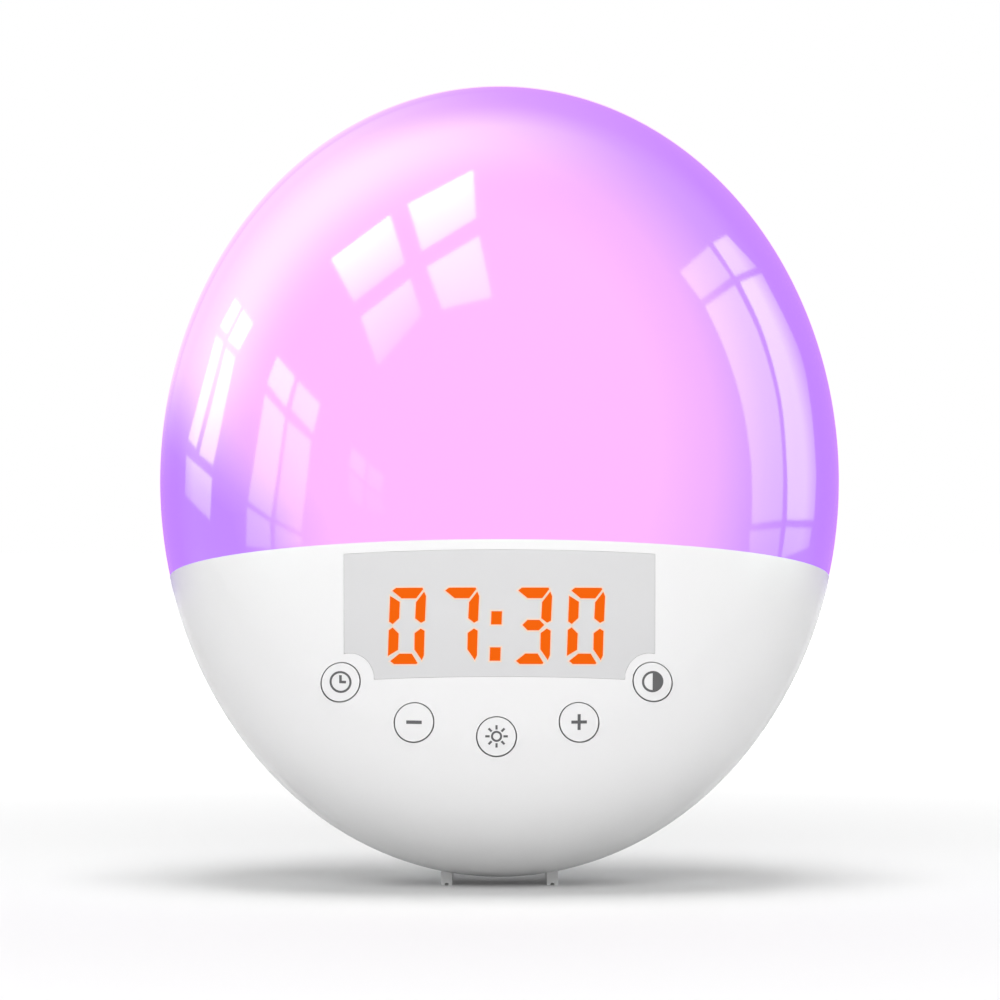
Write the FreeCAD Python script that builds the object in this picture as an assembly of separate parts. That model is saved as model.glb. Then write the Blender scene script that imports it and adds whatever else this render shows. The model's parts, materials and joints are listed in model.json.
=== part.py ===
"""Sunrise alarm clock: an egg-shaped case that leans back on two thin feet, with a glowing dome,
a lower front panel with display and keys, and a rear shell that holds speaker, cell and inlet.

The case is drawn upright in its own frame, x across, y from front to back, z along its height, with
y = 0 at its widest section. It is then leaned back and lifted, so that its feet stand on z = 0.
What goes with the front panel is placed by its RISE, its height above the lower end of the case.
"""
import FreeCAD, Part
import functools
import math
import os
from FreeCAD import Vector

# case
HALF_WIDTH = 82.5
HALF_HEIGHT = 97.67
FRONT_DEPTH = 50.0
REAR_DEPTH = 46.0
LEAN = 12.0
GROUND_GAP = 1.7
FRONT_WALL = 2.2
REAR_WALL = 2.4
PANEL_RISE = 72.07
REAR_FLAT_Y = 38.0
JOINT_LIP = 2.0
LIP_GAP = 0.12
SKIN_OF_LIP = 1.1
LOOSE = 0.3

# feet
FOOT_WIDTH = 2.65
FOOT_SPACING = 25.2
FOOT_FRONT_Y = -19.5
FOOT_REAR_Y = 27.0
FOOT_GROOVE = 0.9
FOOT_GROOVE_DEPTH = 0.5
PEG_DIAMETER = 2.0
PEG_LENGTH = 6.0
PEG_Y = -14.0

# display window and figures
WINDOW_HALF_WIDTH = 36.0
WINDOW_TOP_RISE = 69.67
WINDOW_BOTTOM_RISE = 41.27
WINDOW_NOTCH = 6.0
WINDOW_NOTCH_X = 35.0
WINDOW_NOTCH_RISE = 41.37
WINDOW_THICK = 1.2
WINDOW_GAP = 0.05
WINDOW_LEDGE = 1.5
DIGIT_HEIGHT = 16.85
DIGIT_WIDTH = 8.3
DIGIT_TOP_RISE = 61.32
DIGIT_SLANT = 2.2
DIGIT_PITCH = 12.25
COLON_PITCH = 16.8
FIRST_DIGIT_X = -21.73
STROKE = 2.3
STROKE_GAP = 0.8
SEGMENT_DEPTH = 1.0
COLON_DOT_WIDTH = 2.26
COLON_DOT_HEIGHT = 2.76
COLON_DROPS = (6.7, 14.75)
SEGMENT_GAP = 0.05
CELL_MARGIN = 2.2
DIE_SIZE = 1.6
DIE_HEIGHT = 0.8

# keys
KEY_DIAMETER = 8.9
KEY_HEIGHT = 8.3
KEY_GAP = 0.3
KEY_PROUD = 0.25
KEY_TRAVEL = 0.5
FLANGE_EXTRA = 1.5
FLANGE_THICK = 1.2
KEY_ROW_SHIFT = -0.68
KEY_OUTER_X = 36.2
KEY_OUTER_RISE = 41.07
KEY_INNER_X = 19.1
KEY_INNER_RISE = 31.52
KEY_MIDDLE_RISE = 28.17
SWITCH_SIZE = 6.0
SWITCH_HEIGHT = 3.5
PLUNGER_DIAMETER = 3.4
PLUNGER_GAP = 0.08
PLUNGER_SHOWN = 1.0
PLUNGER_SUNK = 2.0
REAR_KEY_PITCH = 17.0
REAR_KEY_Z = 15.0
REAR_STEM = 1.5

# boards
BOARD_THICK = 1.6
MAIN_BOARD_Y = -19.0
MAIN_BOARD_HALF_WIDTH = 49.0
MAIN_BOARD_TOP_RISE = 68.17
MAIN_BOARD_BOTTOM_RISE = 20.17
BOARD_EDGE_GAP = 3.5
BOARD_SCREW_X_AND_RISE = ((45.0, 62.67), (11.0, 23.67))
LED_BOARD_HALF_WIDTH = 32.0
LED_BOARD_HALF_HEIGHT = 36.0
LED_BOARD_Z = 28.0
LED_BOARD_SCREW_REACH = 20.0
LED_SIZE = 5.0
LED_HEIGHT = 1.6
LED_RINGS = ((0.4, 8), (0.84, 15))
CHIP_HEIGHT = 1.6
CONTROL_CHIP_HALF = 6.0
CONTROL_CHIP_X = -10.0
CONTROL_CHIP_RISE = 51.67
SOUND_CHIP_LENGTH = 8.0
SOUND_CHIP_WIDTH = 6.0
SOUND_CHIP_X = 14.0
SOUND_CHIP_RISE = 50.67
CRYSTAL_DIAMETER = 3.0
CRYSTAL_LENGTH = 6.0
CRYSTAL_X = -24.0
CRYSTAL_RISE = 51.67
CAPACITOR_DIAMETER = 6.3
CAPACITOR_HEIGHT = 7.0
CAPACITOR_XS = (14.0, 22.0, 30.0)
CAPACITOR_RISE = 37.67
REAR_BOARD_MARGIN = 14.0
REAR_BOARD_HALF_HEIGHT = 6.0
REAR_BOARD_SCREW_X = 27.5

# inner frame and light bowl
FRAME_REAR_Y = -4.0
FRAME_THICK = 2.0
SHELF_THICK = 1.6
BOWL_EDGE_GAP = 1.4
BOWL_DEPTH = 40.0
BOWL_FRONT_Y = -22.0
BOWL_FLOOR_Y = -9.2
BOWL_WALL = 1.2

# screws and posts; those in the case are placed by distance in from its edge, and by angle
DOME_SCREW_SPOTS = ((7.24, 19.37), (7.07, 43.2))
PANEL_SCREW_SPOTS = ((16.85, -28.0), (10.65, -70.5))
CASE_SCREW_SPOTS = ((20.95, 38.75), (19.45, -45.75))
POST_WALL = 1.4
POST_END = 2.0
BOSS_DIAMETER = 6.4
BOSS_LENGTH = 7.0
SCREW_DIAMETER = 2.9
SCREW_GAP = 0.2
PILOT_GAP = 0.05
SCREW_HEAD_DIAMETER = 4.9
SCREW_HEAD_HEIGHT = 1.8
SCREW_BITE = 5.0
SMALL_SCREW_DIAMETER = 2.0
SMALL_HEAD_DIAMETER = 3.6
SMALL_HEAD_HEIGHT = 1.2
SMALL_BITE = 3.0
PILOT_EXTRA = 0.5
SMALL_BOSS_DIAMETER = 4.6
SLOT_WIDTH = 0.7

# speaker
SPEAKER_DIAMETER = 45.0
SPEAKER_Z = -19.0
SPEAKER_FLANGE = 1.4
SPEAKER_RIM = 5.2
SPEAKER_SCREW_EDGE = 0.4
SPEAKER_STAND = 4.0
SPEAKER_RING_WALL = 1.6
BASKET_DEPTH = 10.0
BASKET_WALL = 1.0
BASKET_WINDOW = 13.0
BASKET_WINDOW_REACH = 0.85
MAGNET_DIAMETER = 26.0
MAGNET_HEIGHT = 8.0
COIL_DIAMETER = 13.0
COIL_BORE = 12.0
COIL_GAP = 0.4
COIL_SUNK = 3.0
COIL_ROOM = 2.0
CONE_DIAMETER = 30.0
CONE_DEPTH = 6.5
CONE_WALL = 0.6
CONE_TRAVEL = 0.5
SURROUND_THICK = 1.0
GRILLE_HOLE = 2.6
GRILLE_PITCH = 4.4
GRILLE_RINGS = 4

# backup cell
CELL_DIAMETER = 20.0
CELL_HEIGHT = 3.2
CELL_Z = 37.5
CELL_CUP_GAP = 0.4
CELL_CUP_WALL = 1.4
CONTACT_THICK = 0.3
CONTACT_RISE = 0.9
LEAF_HALF_LENGTH = 6.0
LEAF_HALF_WIDTH = 2.5
DIMPLE_BASE = 4.0
DIMPLE_TIP = 2.0
SIDE_CONTACT_ANGLE = 24.0
DOOR_DIAMETER = 25.0
DOOR_THICK = 2.0
DOOR_GAP = 0.25
DOOR_LUG = 1.6
DOOR_LUG_THICK = 1.1
DOOR_LUG_ANGLE = 34.0
DOOR_LUG_STARTS = (0.0, 120.0, 240.0)
DOOR_TURN = 60.0
DOOR_LAND = 1.1
DOOR_SEAT_GAP = 0.15
DOOR_NECK_EXTRA = 1.6
DOOR_SLOT_SLACK = 3.0
COIN_SLOT_WIDTH = 2.0
COIN_SLOT_LENGTH = 15.0
COIN_SLOT_DEPTH = 1.1

# power inlet
JACK_Z = -48.5
JACK_DIAMETER = 8.0
JACK_LENGTH = 12.0
JACK_BORE = 5.7
JACK_BORE_DEPTH = 9.5
JACK_PIN = 2.0
JACK_PIN_SHORT = 0.8
JACK_GAP = 0.1
JACK_FLANGE = 1.5
JACK_FLANGE_EXTRA = 1.5
JACK_COLLAR = 4.0

# wires
WIRE_HOLE = 4.0
LED_WIRE_Z = 16.0
WIRE_DOOR = 24.0
WIRE_DOOR_HALF_HEIGHT = 5.0
WIRE_DOOR_RISE = 33.67

ACROSS = Vector(1, 0, 0)
BACK = Vector(0, 1, 0)
FRONT = Vector(0, -1, 0)
UP = Vector(0, 0, 1)
FAR = 200.0

# places and sizes that follow from the values above
DOME_CUT_Z = PANEL_RISE - HALF_HEIGHT
WINDOW_TOP_Z = WINDOW_TOP_RISE - HALF_HEIGHT
WINDOW_BOTTOM_Z = WINDOW_BOTTOM_RISE - HALF_HEIGHT
WINDOW_NOTCH_Z = WINDOW_NOTCH_RISE - HALF_HEIGHT
DIGIT_TOP_Z = DIGIT_TOP_RISE - HALF_HEIGHT
KEY_OUTER_Z = KEY_OUTER_RISE - HALF_HEIGHT
KEY_INNER_Z = KEY_INNER_RISE - HALF_HEIGHT
KEY_MIDDLE_Z = KEY_MIDDLE_RISE - HALF_HEIGHT
MAIN_BOARD_TOP_Z = MAIN_BOARD_TOP_RISE - HALF_HEIGHT
MAIN_BOARD_BOTTOM_Z = MAIN_BOARD_BOTTOM_RISE - HALF_HEIGHT
CONTROL_CHIP_Z = CONTROL_CHIP_RISE - HALF_HEIGHT
SOUND_CHIP_Z = SOUND_CHIP_RISE - HALF_HEIGHT
CRYSTAL_Z = CRYSTAL_RISE - HALF_HEIGHT
CAPACITOR_Z = CAPACITOR_RISE - HALF_HEIGHT
WIRE_DOOR_Z = WIRE_DOOR_RISE - HALF_HEIGHT
REAR_INNER_Y = REAR_FLAT_Y - REAR_WALL
FRAME_FRONT_Y = FRAME_REAR_Y - FRAME_THICK
KEY_BORE = KEY_DIAMETER + 2 * KEY_GAP
KEY_BORE_HEIGHT = KEY_HEIGHT + 2 * KEY_GAP
FLANGE_DIAMETER = KEY_BORE + 2 * FLANGE_EXTRA
PLUNGER_TIP_Y = MAIN_BOARD_Y - SWITCH_HEIGHT - PLUNGER_SHOWN
MAIN_BOARD_REAR_Y = MAIN_BOARD_Y + BOARD_THICK
LED_BOARD_FRONT_Y = BOWL_FLOOR_Y - BOARD_THICK
SCREW_HOLE = SCREW_DIAMETER + 2 * SCREW_GAP
PILOT_HOLE = SCREW_DIAMETER + 2 * PILOT_GAP
SMALL_HOLE = SMALL_SCREW_DIAMETER + 2 * SCREW_GAP
SMALL_PILOT = SMALL_SCREW_DIAMETER + 2 * PILOT_GAP
HEAD_WELL = SCREW_HEAD_DIAMETER + 2 * SCREW_GAP
POST_DIAMETER = HEAD_WELL + 2 * POST_WALL
HOUSING_INSET = FRONT_WALL + LOOSE
SPEAKER_SEAT_Y = REAR_INNER_Y - SPEAKER_STAND
SPEAKER_SCREW_REACH = (SPEAKER_DIAMETER - SMALL_HEAD_DIAMETER) / 2 - SPEAKER_SCREW_EDGE
REAR_FLANGE_Y = REAR_INNER_Y - LOOSE - FLANGE_THICK
REAR_PLUNGER_TIP_Y = REAR_FLANGE_Y - REAR_STEM
REAR_BOARD_Y = REAR_PLUNGER_TIP_Y - PLUNGER_SHOWN - SWITCH_HEIGHT
CUP_INNER = CELL_DIAMETER + 2 * CELL_CUP_GAP
DOOR_SEAT_Y = REAR_FLAT_Y - DOOR_THICK
DOOR_NECK = CELL_DIAMETER + DOOR_NECK_EXTRA
LUG_REACH = DOOR_NECK / 2 + DOOR_LUG
LUG_REAR_Y = DOOR_SEAT_Y - DOOR_LAND - LOOSE
LUG_FRONT_Y = LUG_REAR_Y - DOOR_LUG_THICK
GROOVE_FRONT_Y = LUG_FRONT_Y - LOOSE
CELL_FRONT_Y = GROOVE_FRONT_Y - CELL_HEIGHT
CUP_FLOOR_Y = CELL_FRONT_Y - CONTACT_RISE - CONTACT_THICK
CUP_OUTER = 2 * (LUG_REACH + LOOSE + CELL_CUP_WALL)
JACK_HOLE = JACK_DIAMETER + 2 * JACK_GAP
LEANED = FreeCAD.Placement(Vector(0, 0, 0), FreeCAD.Rotation(ACROSS, -LEAN))


def mirrored_places(pairs):
    return [(side * x, z) for x, z in pairs for side in (-1, 1)]


def inset_places(spots):
    """Places on both sides of the case, each at a distance in from its edge and at an angle."""
    places = []
    for edge, angle in spots:
        turn = math.radians(angle)
        x = (HALF_WIDTH - edge) * math.cos(turn)
        z = (HALF_HEIGHT - edge) * math.sin(turn)
        places.append((x, z))
    return mirrored_places(places)


def turns(count, start=0.0):
    return [start + 2 * math.pi * i / count for i in range(count)]


def ring_places(radius, count, z, start=0.0):
    return [(radius * math.cos(a), z + radius * math.sin(a)) for a in turns(count, start)]


KEYS = {
    "time": (KEY_ROW_SHIFT - KEY_OUTER_X, KEY_OUTER_Z),
    "minus": (KEY_ROW_SHIFT - KEY_INNER_X, KEY_INNER_Z),
    "light": (KEY_ROW_SHIFT, KEY_MIDDLE_Z),
    "plus": (KEY_ROW_SHIFT + KEY_INNER_X, KEY_INNER_Z),
    "contrast": (KEY_ROW_SHIFT + KEY_OUTER_X, KEY_OUTER_Z),
}
REAR_KEYS = {
    "alarm_one": (REAR_KEY_PITCH, REAR_KEY_Z),
    "alarm_two": (0.0, REAR_KEY_Z),
    "sound": (-REAR_KEY_PITCH, REAR_KEY_Z),
}
DOME_SCREWS = inset_places(DOME_SCREW_SPOTS)
PANEL_SCREWS = inset_places(PANEL_SCREW_SPOTS)
CASE_SCREWS = inset_places(CASE_SCREW_SPOTS)
BOARD_SCREWS = mirrored_places([(x, rise - HALF_HEIGHT) for x, rise in BOARD_SCREW_X_AND_RISE])
LED_BOARD_SCREWS = ring_places(LED_BOARD_SCREW_REACH, 3, LED_BOARD_Z, math.pi / 2)
SPEAKER_SCREWS = ring_places(SPEAKER_SCREW_REACH, 4, SPEAKER_Z, math.pi / 4)
REAR_BOARD_SCREWS = mirrored_places([(REAR_BOARD_SCREW_X, REAR_KEY_Z)])


def box(x0, x1, y0, y1, z0, z1):
    return Part.makeBox(x1 - x0, y1 - y0, z1 - z0, Vector(x0, y0, z0))


def block(half, y0, y1, x, z):
    """Square block along y, centred on x, z."""
    return box(x - half, x + half, min(y0, y1), max(y0, y1), z - half, z + half)


def slab_y(y0, y1):
    return box(-FAR, FAR, y0, y1, -FAR, FAR)


def slab_z(z0, z1):
    return box(-FAR, FAR, -FAR, FAR, z0, z1)


def rod(diameter, y0, y1, x=0.0, z=0.0):
    """Round bar along y between y0 and y1."""
    return Part.makeCylinder(diameter / 2, abs(y1 - y0), Vector(x, min(y0, y1), z), BACK)


def oval_rod(width, height, y0, y1, x, z):
    """Oval bar along y between y0 and y1."""
    low = min(y0, y1)
    side = Vector(x + width / 2, low, z)
    top = Vector(x, low, z + height / 2)
    outline = Part.Ellipse(side, top, Vector(x, low, z)).toShape()
    return Part.Face(Part.Wire(outline)).extrude(Vector(0, abs(y1 - y0), 0))


def rods(places, diameter, y0, y1):
    return [rod(diameter, y0, y1, x, z) for x, z in places]


def tube(outer, inner, y0, y1, x=0.0, z=0.0):
    return rod(outer, y0, y1, x, z).cut(rod(inner, y0, y1, x, z))


def cone(diameter0, diameter1, y0, y1, z=0.0):
    return Part.makeCone(diameter0 / 2, diameter1 / 2, y1 - y0, Vector(0, y0, z), BACK)


def sector(radius, y0, y1, angle, z, start):
    wedge = Part.makeCylinder(radius, y1 - y0, Vector(0, y0, z), BACK, angle)
    wedge.rotate(Vector(0, 0, z), BACK, start)
    return wedge


def scaled(shape, half_x, half_y, half_z):
    scale = FreeCAD.Matrix()
    scale.scale(half_x, half_y, half_z)
    return shape.transformGeometry(scale)


@functools.lru_cache(maxsize=None)
def front_body(inset=0.0):
    """Front half of the case, with its surface moved inwards by inset."""
    half = Part.makeSphere(1.0, Vector(0, 0, 0), FRONT, 0, 90, 360)
    return scaled(half, HALF_WIDTH - inset, FRONT_DEPTH - inset, HALF_HEIGHT - inset)


@functools.lru_cache(maxsize=None)
def rear_body(inset=0.0):
    """Rear half of the case, flat at the back."""
    half = Part.makeSphere(1.0, Vector(0, 0, 0), BACK, 0, 90, 360)
    half = scaled(half, HALF_WIDTH - inset, REAR_DEPTH - inset, HALF_HEIGHT - inset)
    return half.common(slab_y(-1, REAR_FLAT_Y - inset))


def front_y(x, z, inset=0.0):
    """Depth of the front surface at x, z."""
    across = x / (HALF_WIDTH - inset)
    along = z / (HALF_HEIGHT - inset)
    return -(FRONT_DEPTH - inset) * math.sqrt(1 - across ** 2 - along ** 2)


@functools.lru_cache(maxsize=None)
def layer(outer_inset, inner_inset):
    """Skin of the front half between two insets."""
    return front_body(outer_inset).cut(front_body(inner_inset))


def oval_plate(half_x, half_z, y0, y1, z=0.0):
    disc = Part.makeCylinder(1.0, y1 - y0, Vector(0, y0, 0), BACK)
    disc = scaled(disc, half_x, 1.0, half_z)
    disc.translate(Vector(0, 0, z))
    return disc


def section_halves(inset, y):
    """Half width and half height of the front half's section at depth y."""
    share = math.sqrt(1 - (y / (FRONT_DEPTH - inset)) ** 2)
    return (HALF_WIDTH - inset) * share, (HALF_HEIGHT - inset) * share


def joined(solids):
    return solids[0].fuse(solids[1:]).removeSplitter()


def lip_room():
    """Room in the front pieces for the lip round the rear shell's rim."""
    return layer(SKIN_OF_LIP, FRONT_WALL + LOOSE).common(slab_y(-JOINT_LIP - LIP_GAP, 1))


def light_dome():
    shell = layer(0, FRONT_WALL).common(slab_z(DOME_CUT_Z, FAR))
    bosses = Part.makeCompound(rods(DOME_SCREWS, BOSS_DIAMETER, -FAR, FRAME_FRONT_Y))
    bosses = bosses.common(front_body(FRONT_WALL / 2))
    shell = joined([shell] + bosses.Solids)
    panel_lip_room = layer(SKIN_OF_LIP, FRONT_WALL + LOOSE)
    panel_lip_room = panel_lip_room.common(slab_z(-FAR, DOME_CUT_Z + JOINT_LIP + LIP_GAP))
    cuts = rods(DOME_SCREWS, PILOT_HOLE, FRAME_FRONT_Y - SCREW_BITE - 1, 0)
    return shell.cut([lip_room(), panel_lip_room] + cuts)


def window_outline(margin, y0, y1):
    """Prism of the window, with its lower corners cut round the two outer keys."""
    half = WINDOW_HALF_WIDTH + margin
    prism = box(-half, half, y0, y1, WINDOW_BOTTOM_Z - margin, WINDOW_TOP_Z + margin)
    corners = mirrored_places([(WINDOW_NOTCH_X, WINDOW_NOTCH_Z)])
    notches = rods(corners, 2 * (WINDOW_NOTCH - margin), y0, y1)
    return prism.cut(notches)


def front_panel():
    shell = layer(0, FRONT_WALL).common(slab_z(-FAR, DOME_CUT_Z))
    posts = rods(PANEL_SCREWS, BOSS_DIAMETER, -FAR, FRAME_FRONT_Y)
    posts += rods(BOARD_SCREWS, SMALL_BOSS_DIAMETER, -FAR, MAIN_BOARD_Y)
    posts = Part.makeCompound(posts).common(front_body(FRONT_WALL / 2))
    lip = layer(SKIN_OF_LIP + LIP_GAP, FRONT_WALL).common(slab_y(-FAR, -2 * JOINT_LIP))
    lip = lip.common(slab_z(DOME_CUT_Z - JOINT_LIP, DOME_CUT_Z + JOINT_LIP))
    shell = joined([shell, lip] + posts.Solids)
    seat = window_outline(WINDOW_GAP, -FAR, -1).cut(front_body(WINDOW_THICK))
    cuts = [lip_room(), seat, window_outline(-WINDOW_LEDGE, -FAR, MAIN_BOARD_Y)]
    cuts += rods(PANEL_SCREWS, PILOT_HOLE, FRAME_FRONT_Y - SCREW_BITE - 1, 0)
    cuts += rods(BOARD_SCREWS, SMALL_PILOT, MAIN_BOARD_Y - SMALL_BITE - 1, 0)
    cuts += [
        oval_rod(KEY_BORE, KEY_BORE_HEIGHT, -FAR, MAIN_BOARD_Y, x, z) for x, z in KEYS.values()
    ]
    return shell.cut(cuts)


def display_window():
    return window_outline(0, -FAR, -1).common(layer(0, WINDOW_THICK))


def slanted(x, z):
    """A point of a figure, leaned to the right about the figures' lower edge."""
    lift = z - (DIGIT_TOP_Z - DIGIT_HEIGHT)
    return Vector(x + lift * math.tan(math.radians(DIGIT_SLANT)), -FAR, z)


def bar(points):
    face = Part.Face(Part.makePolygon([slanted(x, z) for x, z in points + points[:1]]))
    return face.extrude(Vector(0, FAR + MAIN_BOARD_Y, 0))


def figure_bars(x, grow):
    """The seven bars of one figure about x: top, bottom, middle, then the four uprights."""
    half = DIGIT_WIDTH / 2
    ends = ((DIGIT_TOP_Z, -1), (DIGIT_TOP_Z - DIGIT_HEIGHT, 1))
    mid = DIGIT_TOP_Z - DIGIT_HEIGHT / 2
    gap = STROKE_GAP / 2 - grow
    bevel = STROKE / 4
    bars = []
    for edge, way in ends:
        outer = edge - way * grow
        inner = edge + way * (STROKE + grow)
        bars.append([
            (x - half + gap + bevel, outer),
            (x + half - gap - bevel, outer),
            (x + half - gap - STROKE, inner),
            (x - half + gap + STROKE, inner),
        ])
    reach = half - STROKE / 2 - gap
    depth = STROKE / 2 + grow
    bars.append([
        (x - reach, mid),
        (x - reach + bevel, mid + depth),
        (x + reach - bevel, mid + depth),
        (x + reach, mid),
        (x + reach - bevel, mid - depth),
        (x - reach + bevel, mid - depth),
    ])
    for side in (-1, 1):
        outer_x = x + side * (half + grow)
        inner_x = x + side * (half - STROKE - grow)
        for edge, way in ends:
            bars.append([
                (outer_x, edge + way * (gap + bevel)),
                (outer_x, mid - way * (gap + bevel)),
                (x + side * (half - STROKE / 2), mid - way * gap),
                (inner_x, mid - way * (gap + STROKE / 2)),
                (inner_x, edge + way * (gap + STROKE)),
            ])
    return [bar(points) for points in bars]


def figure_places():
    second = FIRST_DIGIT_X + DIGIT_PITCH
    third = second + COLON_PITCH
    return [FIRST_DIGIT_X, second, third, third + DIGIT_PITCH]


def colon_dots(grow):
    x = FIRST_DIGIT_X + DIGIT_PITCH + COLON_PITCH / 2
    half_x = COLON_DOT_WIDTH / 2 + grow
    half_z = COLON_DOT_HEIGHT / 2 + grow
    dots = []
    for drop in COLON_DROPS:
        z = DIGIT_TOP_Z - drop
        corners = ((-1, -1), (1, -1), (1, 1), (-1, 1))
        dots.append(bar([(x + i * half_x, z + j * half_z) for i, j in corners]))
    return dots


def all_bars(grow=0.0):
    bars = [solid for x in figure_places() for solid in figure_bars(x, grow)]
    return Part.makeCompound(bars + colon_dots(grow))


def display_segments():
    return all_bars().common(layer(HOUSING_INSET, HOUSING_INSET + SEGMENT_DEPTH))


def display_housing():
    """Block of light wells, one behind each bar, from the main board to the window."""
    side = DIGIT_WIDTH / 2 + CELL_MARGIN
    prism = box(
        FIRST_DIGIT_X - side,
        figure_places()[3] + side,
        -FAR,
        MAIN_BOARD_Y,
        DIGIT_TOP_Z - DIGIT_HEIGHT - CELL_MARGIN,
        DIGIT_TOP_Z + CELL_MARGIN,
    )
    return prism.common(front_body(HOUSING_INSET)).cut(all_bars(SEGMENT_GAP))


def segment_dies():
    places = [(solid.BoundBox.Center.x, solid.BoundBox.Center.z) for solid in all_bars().Solids]
    half = DIE_SIZE / 2
    return Part.makeCompound([
        block(half, MAIN_BOARD_Y - DIE_HEIGHT, MAIN_BOARD_Y, x, z) for x, z in places
    ])


def key_flange_y(x, z):
    """Front of a key's flange at rest, just behind the panel's inner face."""
    spots = ring_places(FLANGE_DIAMETER / 2, 12, z)
    return max(front_y(x + sx, sz, FRONT_WALL) for sx, sz in spots) + LOOSE


def button(x, z):
    """Key cap, round along the curved panel, with a flange behind it and a stem down to its plunger."""
    flange_y = key_flange_y(x, z)
    face = oval_rod(KEY_DIAMETER, KEY_HEIGHT, -FAR, flange_y, x, z)
    face = face.common(front_body(-KEY_PROUD))
    flange = rod(FLANGE_DIAMETER, flange_y, flange_y + FLANGE_THICK, x, z)
    stem = rod(PLUNGER_DIAMETER, flange_y + FLANGE_THICK, PLUNGER_TIP_Y, x, z)
    return joined([face, flange, stem])


def plunger(x, z, tip_y, way):
    """Switch plunger from its tip down into the switch; way is 1 where that is backwards."""
    return rod(PLUNGER_DIAMETER, tip_y, tip_y + way * (PLUNGER_SHOWN + PLUNGER_SUNK), x, z)


def switch_body(x, z, board_y, way):
    """Square switch on a board with a well for its plunger; way is 1 for a key behind it."""
    top = board_y + way * SWITCH_HEIGHT
    well_floor = top - way * (PLUNGER_SUNK + KEY_TRAVEL + LOOSE)
    well = rod(PLUNGER_DIAMETER + 2 * PLUNGER_GAP, well_floor, top + way, x, z)
    return block(SWITCH_SIZE / 2, board_y, top, x, z).cut(well)


def key_switches():
    return Part.makeCompound([switch_body(x, z, MAIN_BOARD_Y, -1) for x, z in KEYS.values()])


def main_board():
    half_x, half_z = section_halves(FRONT_WALL, MAIN_BOARD_Y)
    outline = oval_plate(
        half_x - BOARD_EDGE_GAP,
        half_z - BOARD_EDGE_GAP,
        MAIN_BOARD_Y,
        MAIN_BOARD_REAR_Y,
    )
    half = MAIN_BOARD_HALF_WIDTH
    board = outline.common(box(-half, half, -FAR, 0, MAIN_BOARD_BOTTOM_Z, MAIN_BOARD_TOP_Z))
    return board.cut(rods(BOARD_SCREWS, SMALL_HOLE, -FAR, FAR))


def control_chip():
    top_y = MAIN_BOARD_REAR_Y + CHIP_HEIGHT
    return block(CONTROL_CHIP_HALF, MAIN_BOARD_REAR_Y, top_y, CONTROL_CHIP_X, CONTROL_CHIP_Z)


def sound_chip():
    half_x, half_z = SOUND_CHIP_LENGTH / 2, SOUND_CHIP_WIDTH / 2
    return box(
        SOUND_CHIP_X - half_x,
        SOUND_CHIP_X + half_x,
        MAIN_BOARD_REAR_Y,
        MAIN_BOARD_REAR_Y + CHIP_HEIGHT,
        SOUND_CHIP_Z - half_z,
        SOUND_CHIP_Z + half_z,
    )


def timing_crystal():
    end_y = MAIN_BOARD_REAR_Y + CRYSTAL_LENGTH
    return rod(CRYSTAL_DIAMETER, MAIN_BOARD_REAR_Y, end_y, CRYSTAL_X, CRYSTAL_Z)


def capacitors():
    places = [(x, CAPACITOR_Z) for x in CAPACITOR_XS]
    end_y = MAIN_BOARD_REAR_Y + CAPACITOR_HEIGHT
    return Part.makeCompound(rods(places, CAPACITOR_DIAMETER, MAIN_BOARD_REAR_Y, end_y))


def inner_frame():
    """Plate across the case that carries the bowl, with a shelf that keeps light off the display."""
    half_x, half_z = section_halves(FRONT_WALL + LOOSE, FRAME_FRONT_Y)
    plate = oval_plate(half_x, half_z, FRAME_FRONT_Y, FRAME_REAR_Y)
    shelf = front_body(FRONT_WALL + LOOSE).common(
        box(-FAR, FAR, -FAR, FRAME_REAR_Y, DOME_CUT_Z - SHELF_THICK, DOME_CUT_Z)
    )
    bosses = rods(CASE_SCREWS, BOSS_DIAMETER, FRAME_FRONT_Y - BOSS_LENGTH, FRAME_FRONT_Y)
    bosses += rods(LED_BOARD_SCREWS, SMALL_BOSS_DIAMETER, BOWL_FLOOR_Y + BOWL_WALL, FRAME_FRONT_Y)
    cuts = rods(CASE_SCREWS, PILOT_HOLE, FRAME_FRONT_Y - BOSS_LENGTH + 1, 0)
    cuts += rods(DOME_SCREWS + PANEL_SCREWS, SCREW_HOLE, -FAR, FAR)
    cuts += rods(LED_BOARD_SCREWS, SMALL_PILOT, -FAR, FAR)
    cuts.append(rod(WIRE_HOLE, FRAME_FRONT_Y - 1, 0, 0, LED_WIRE_Z))
    low, high = WIRE_DOOR_Z - WIRE_DOOR_HALF_HEIGHT, WIRE_DOOR_Z + WIRE_DOOR_HALF_HEIGHT
    cuts.append(box(-WIRE_DOOR / 2, WIRE_DOOR / 2, -FAR, FAR, low, high))
    return joined([plate, shelf] + bosses).cut(cuts)


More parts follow.
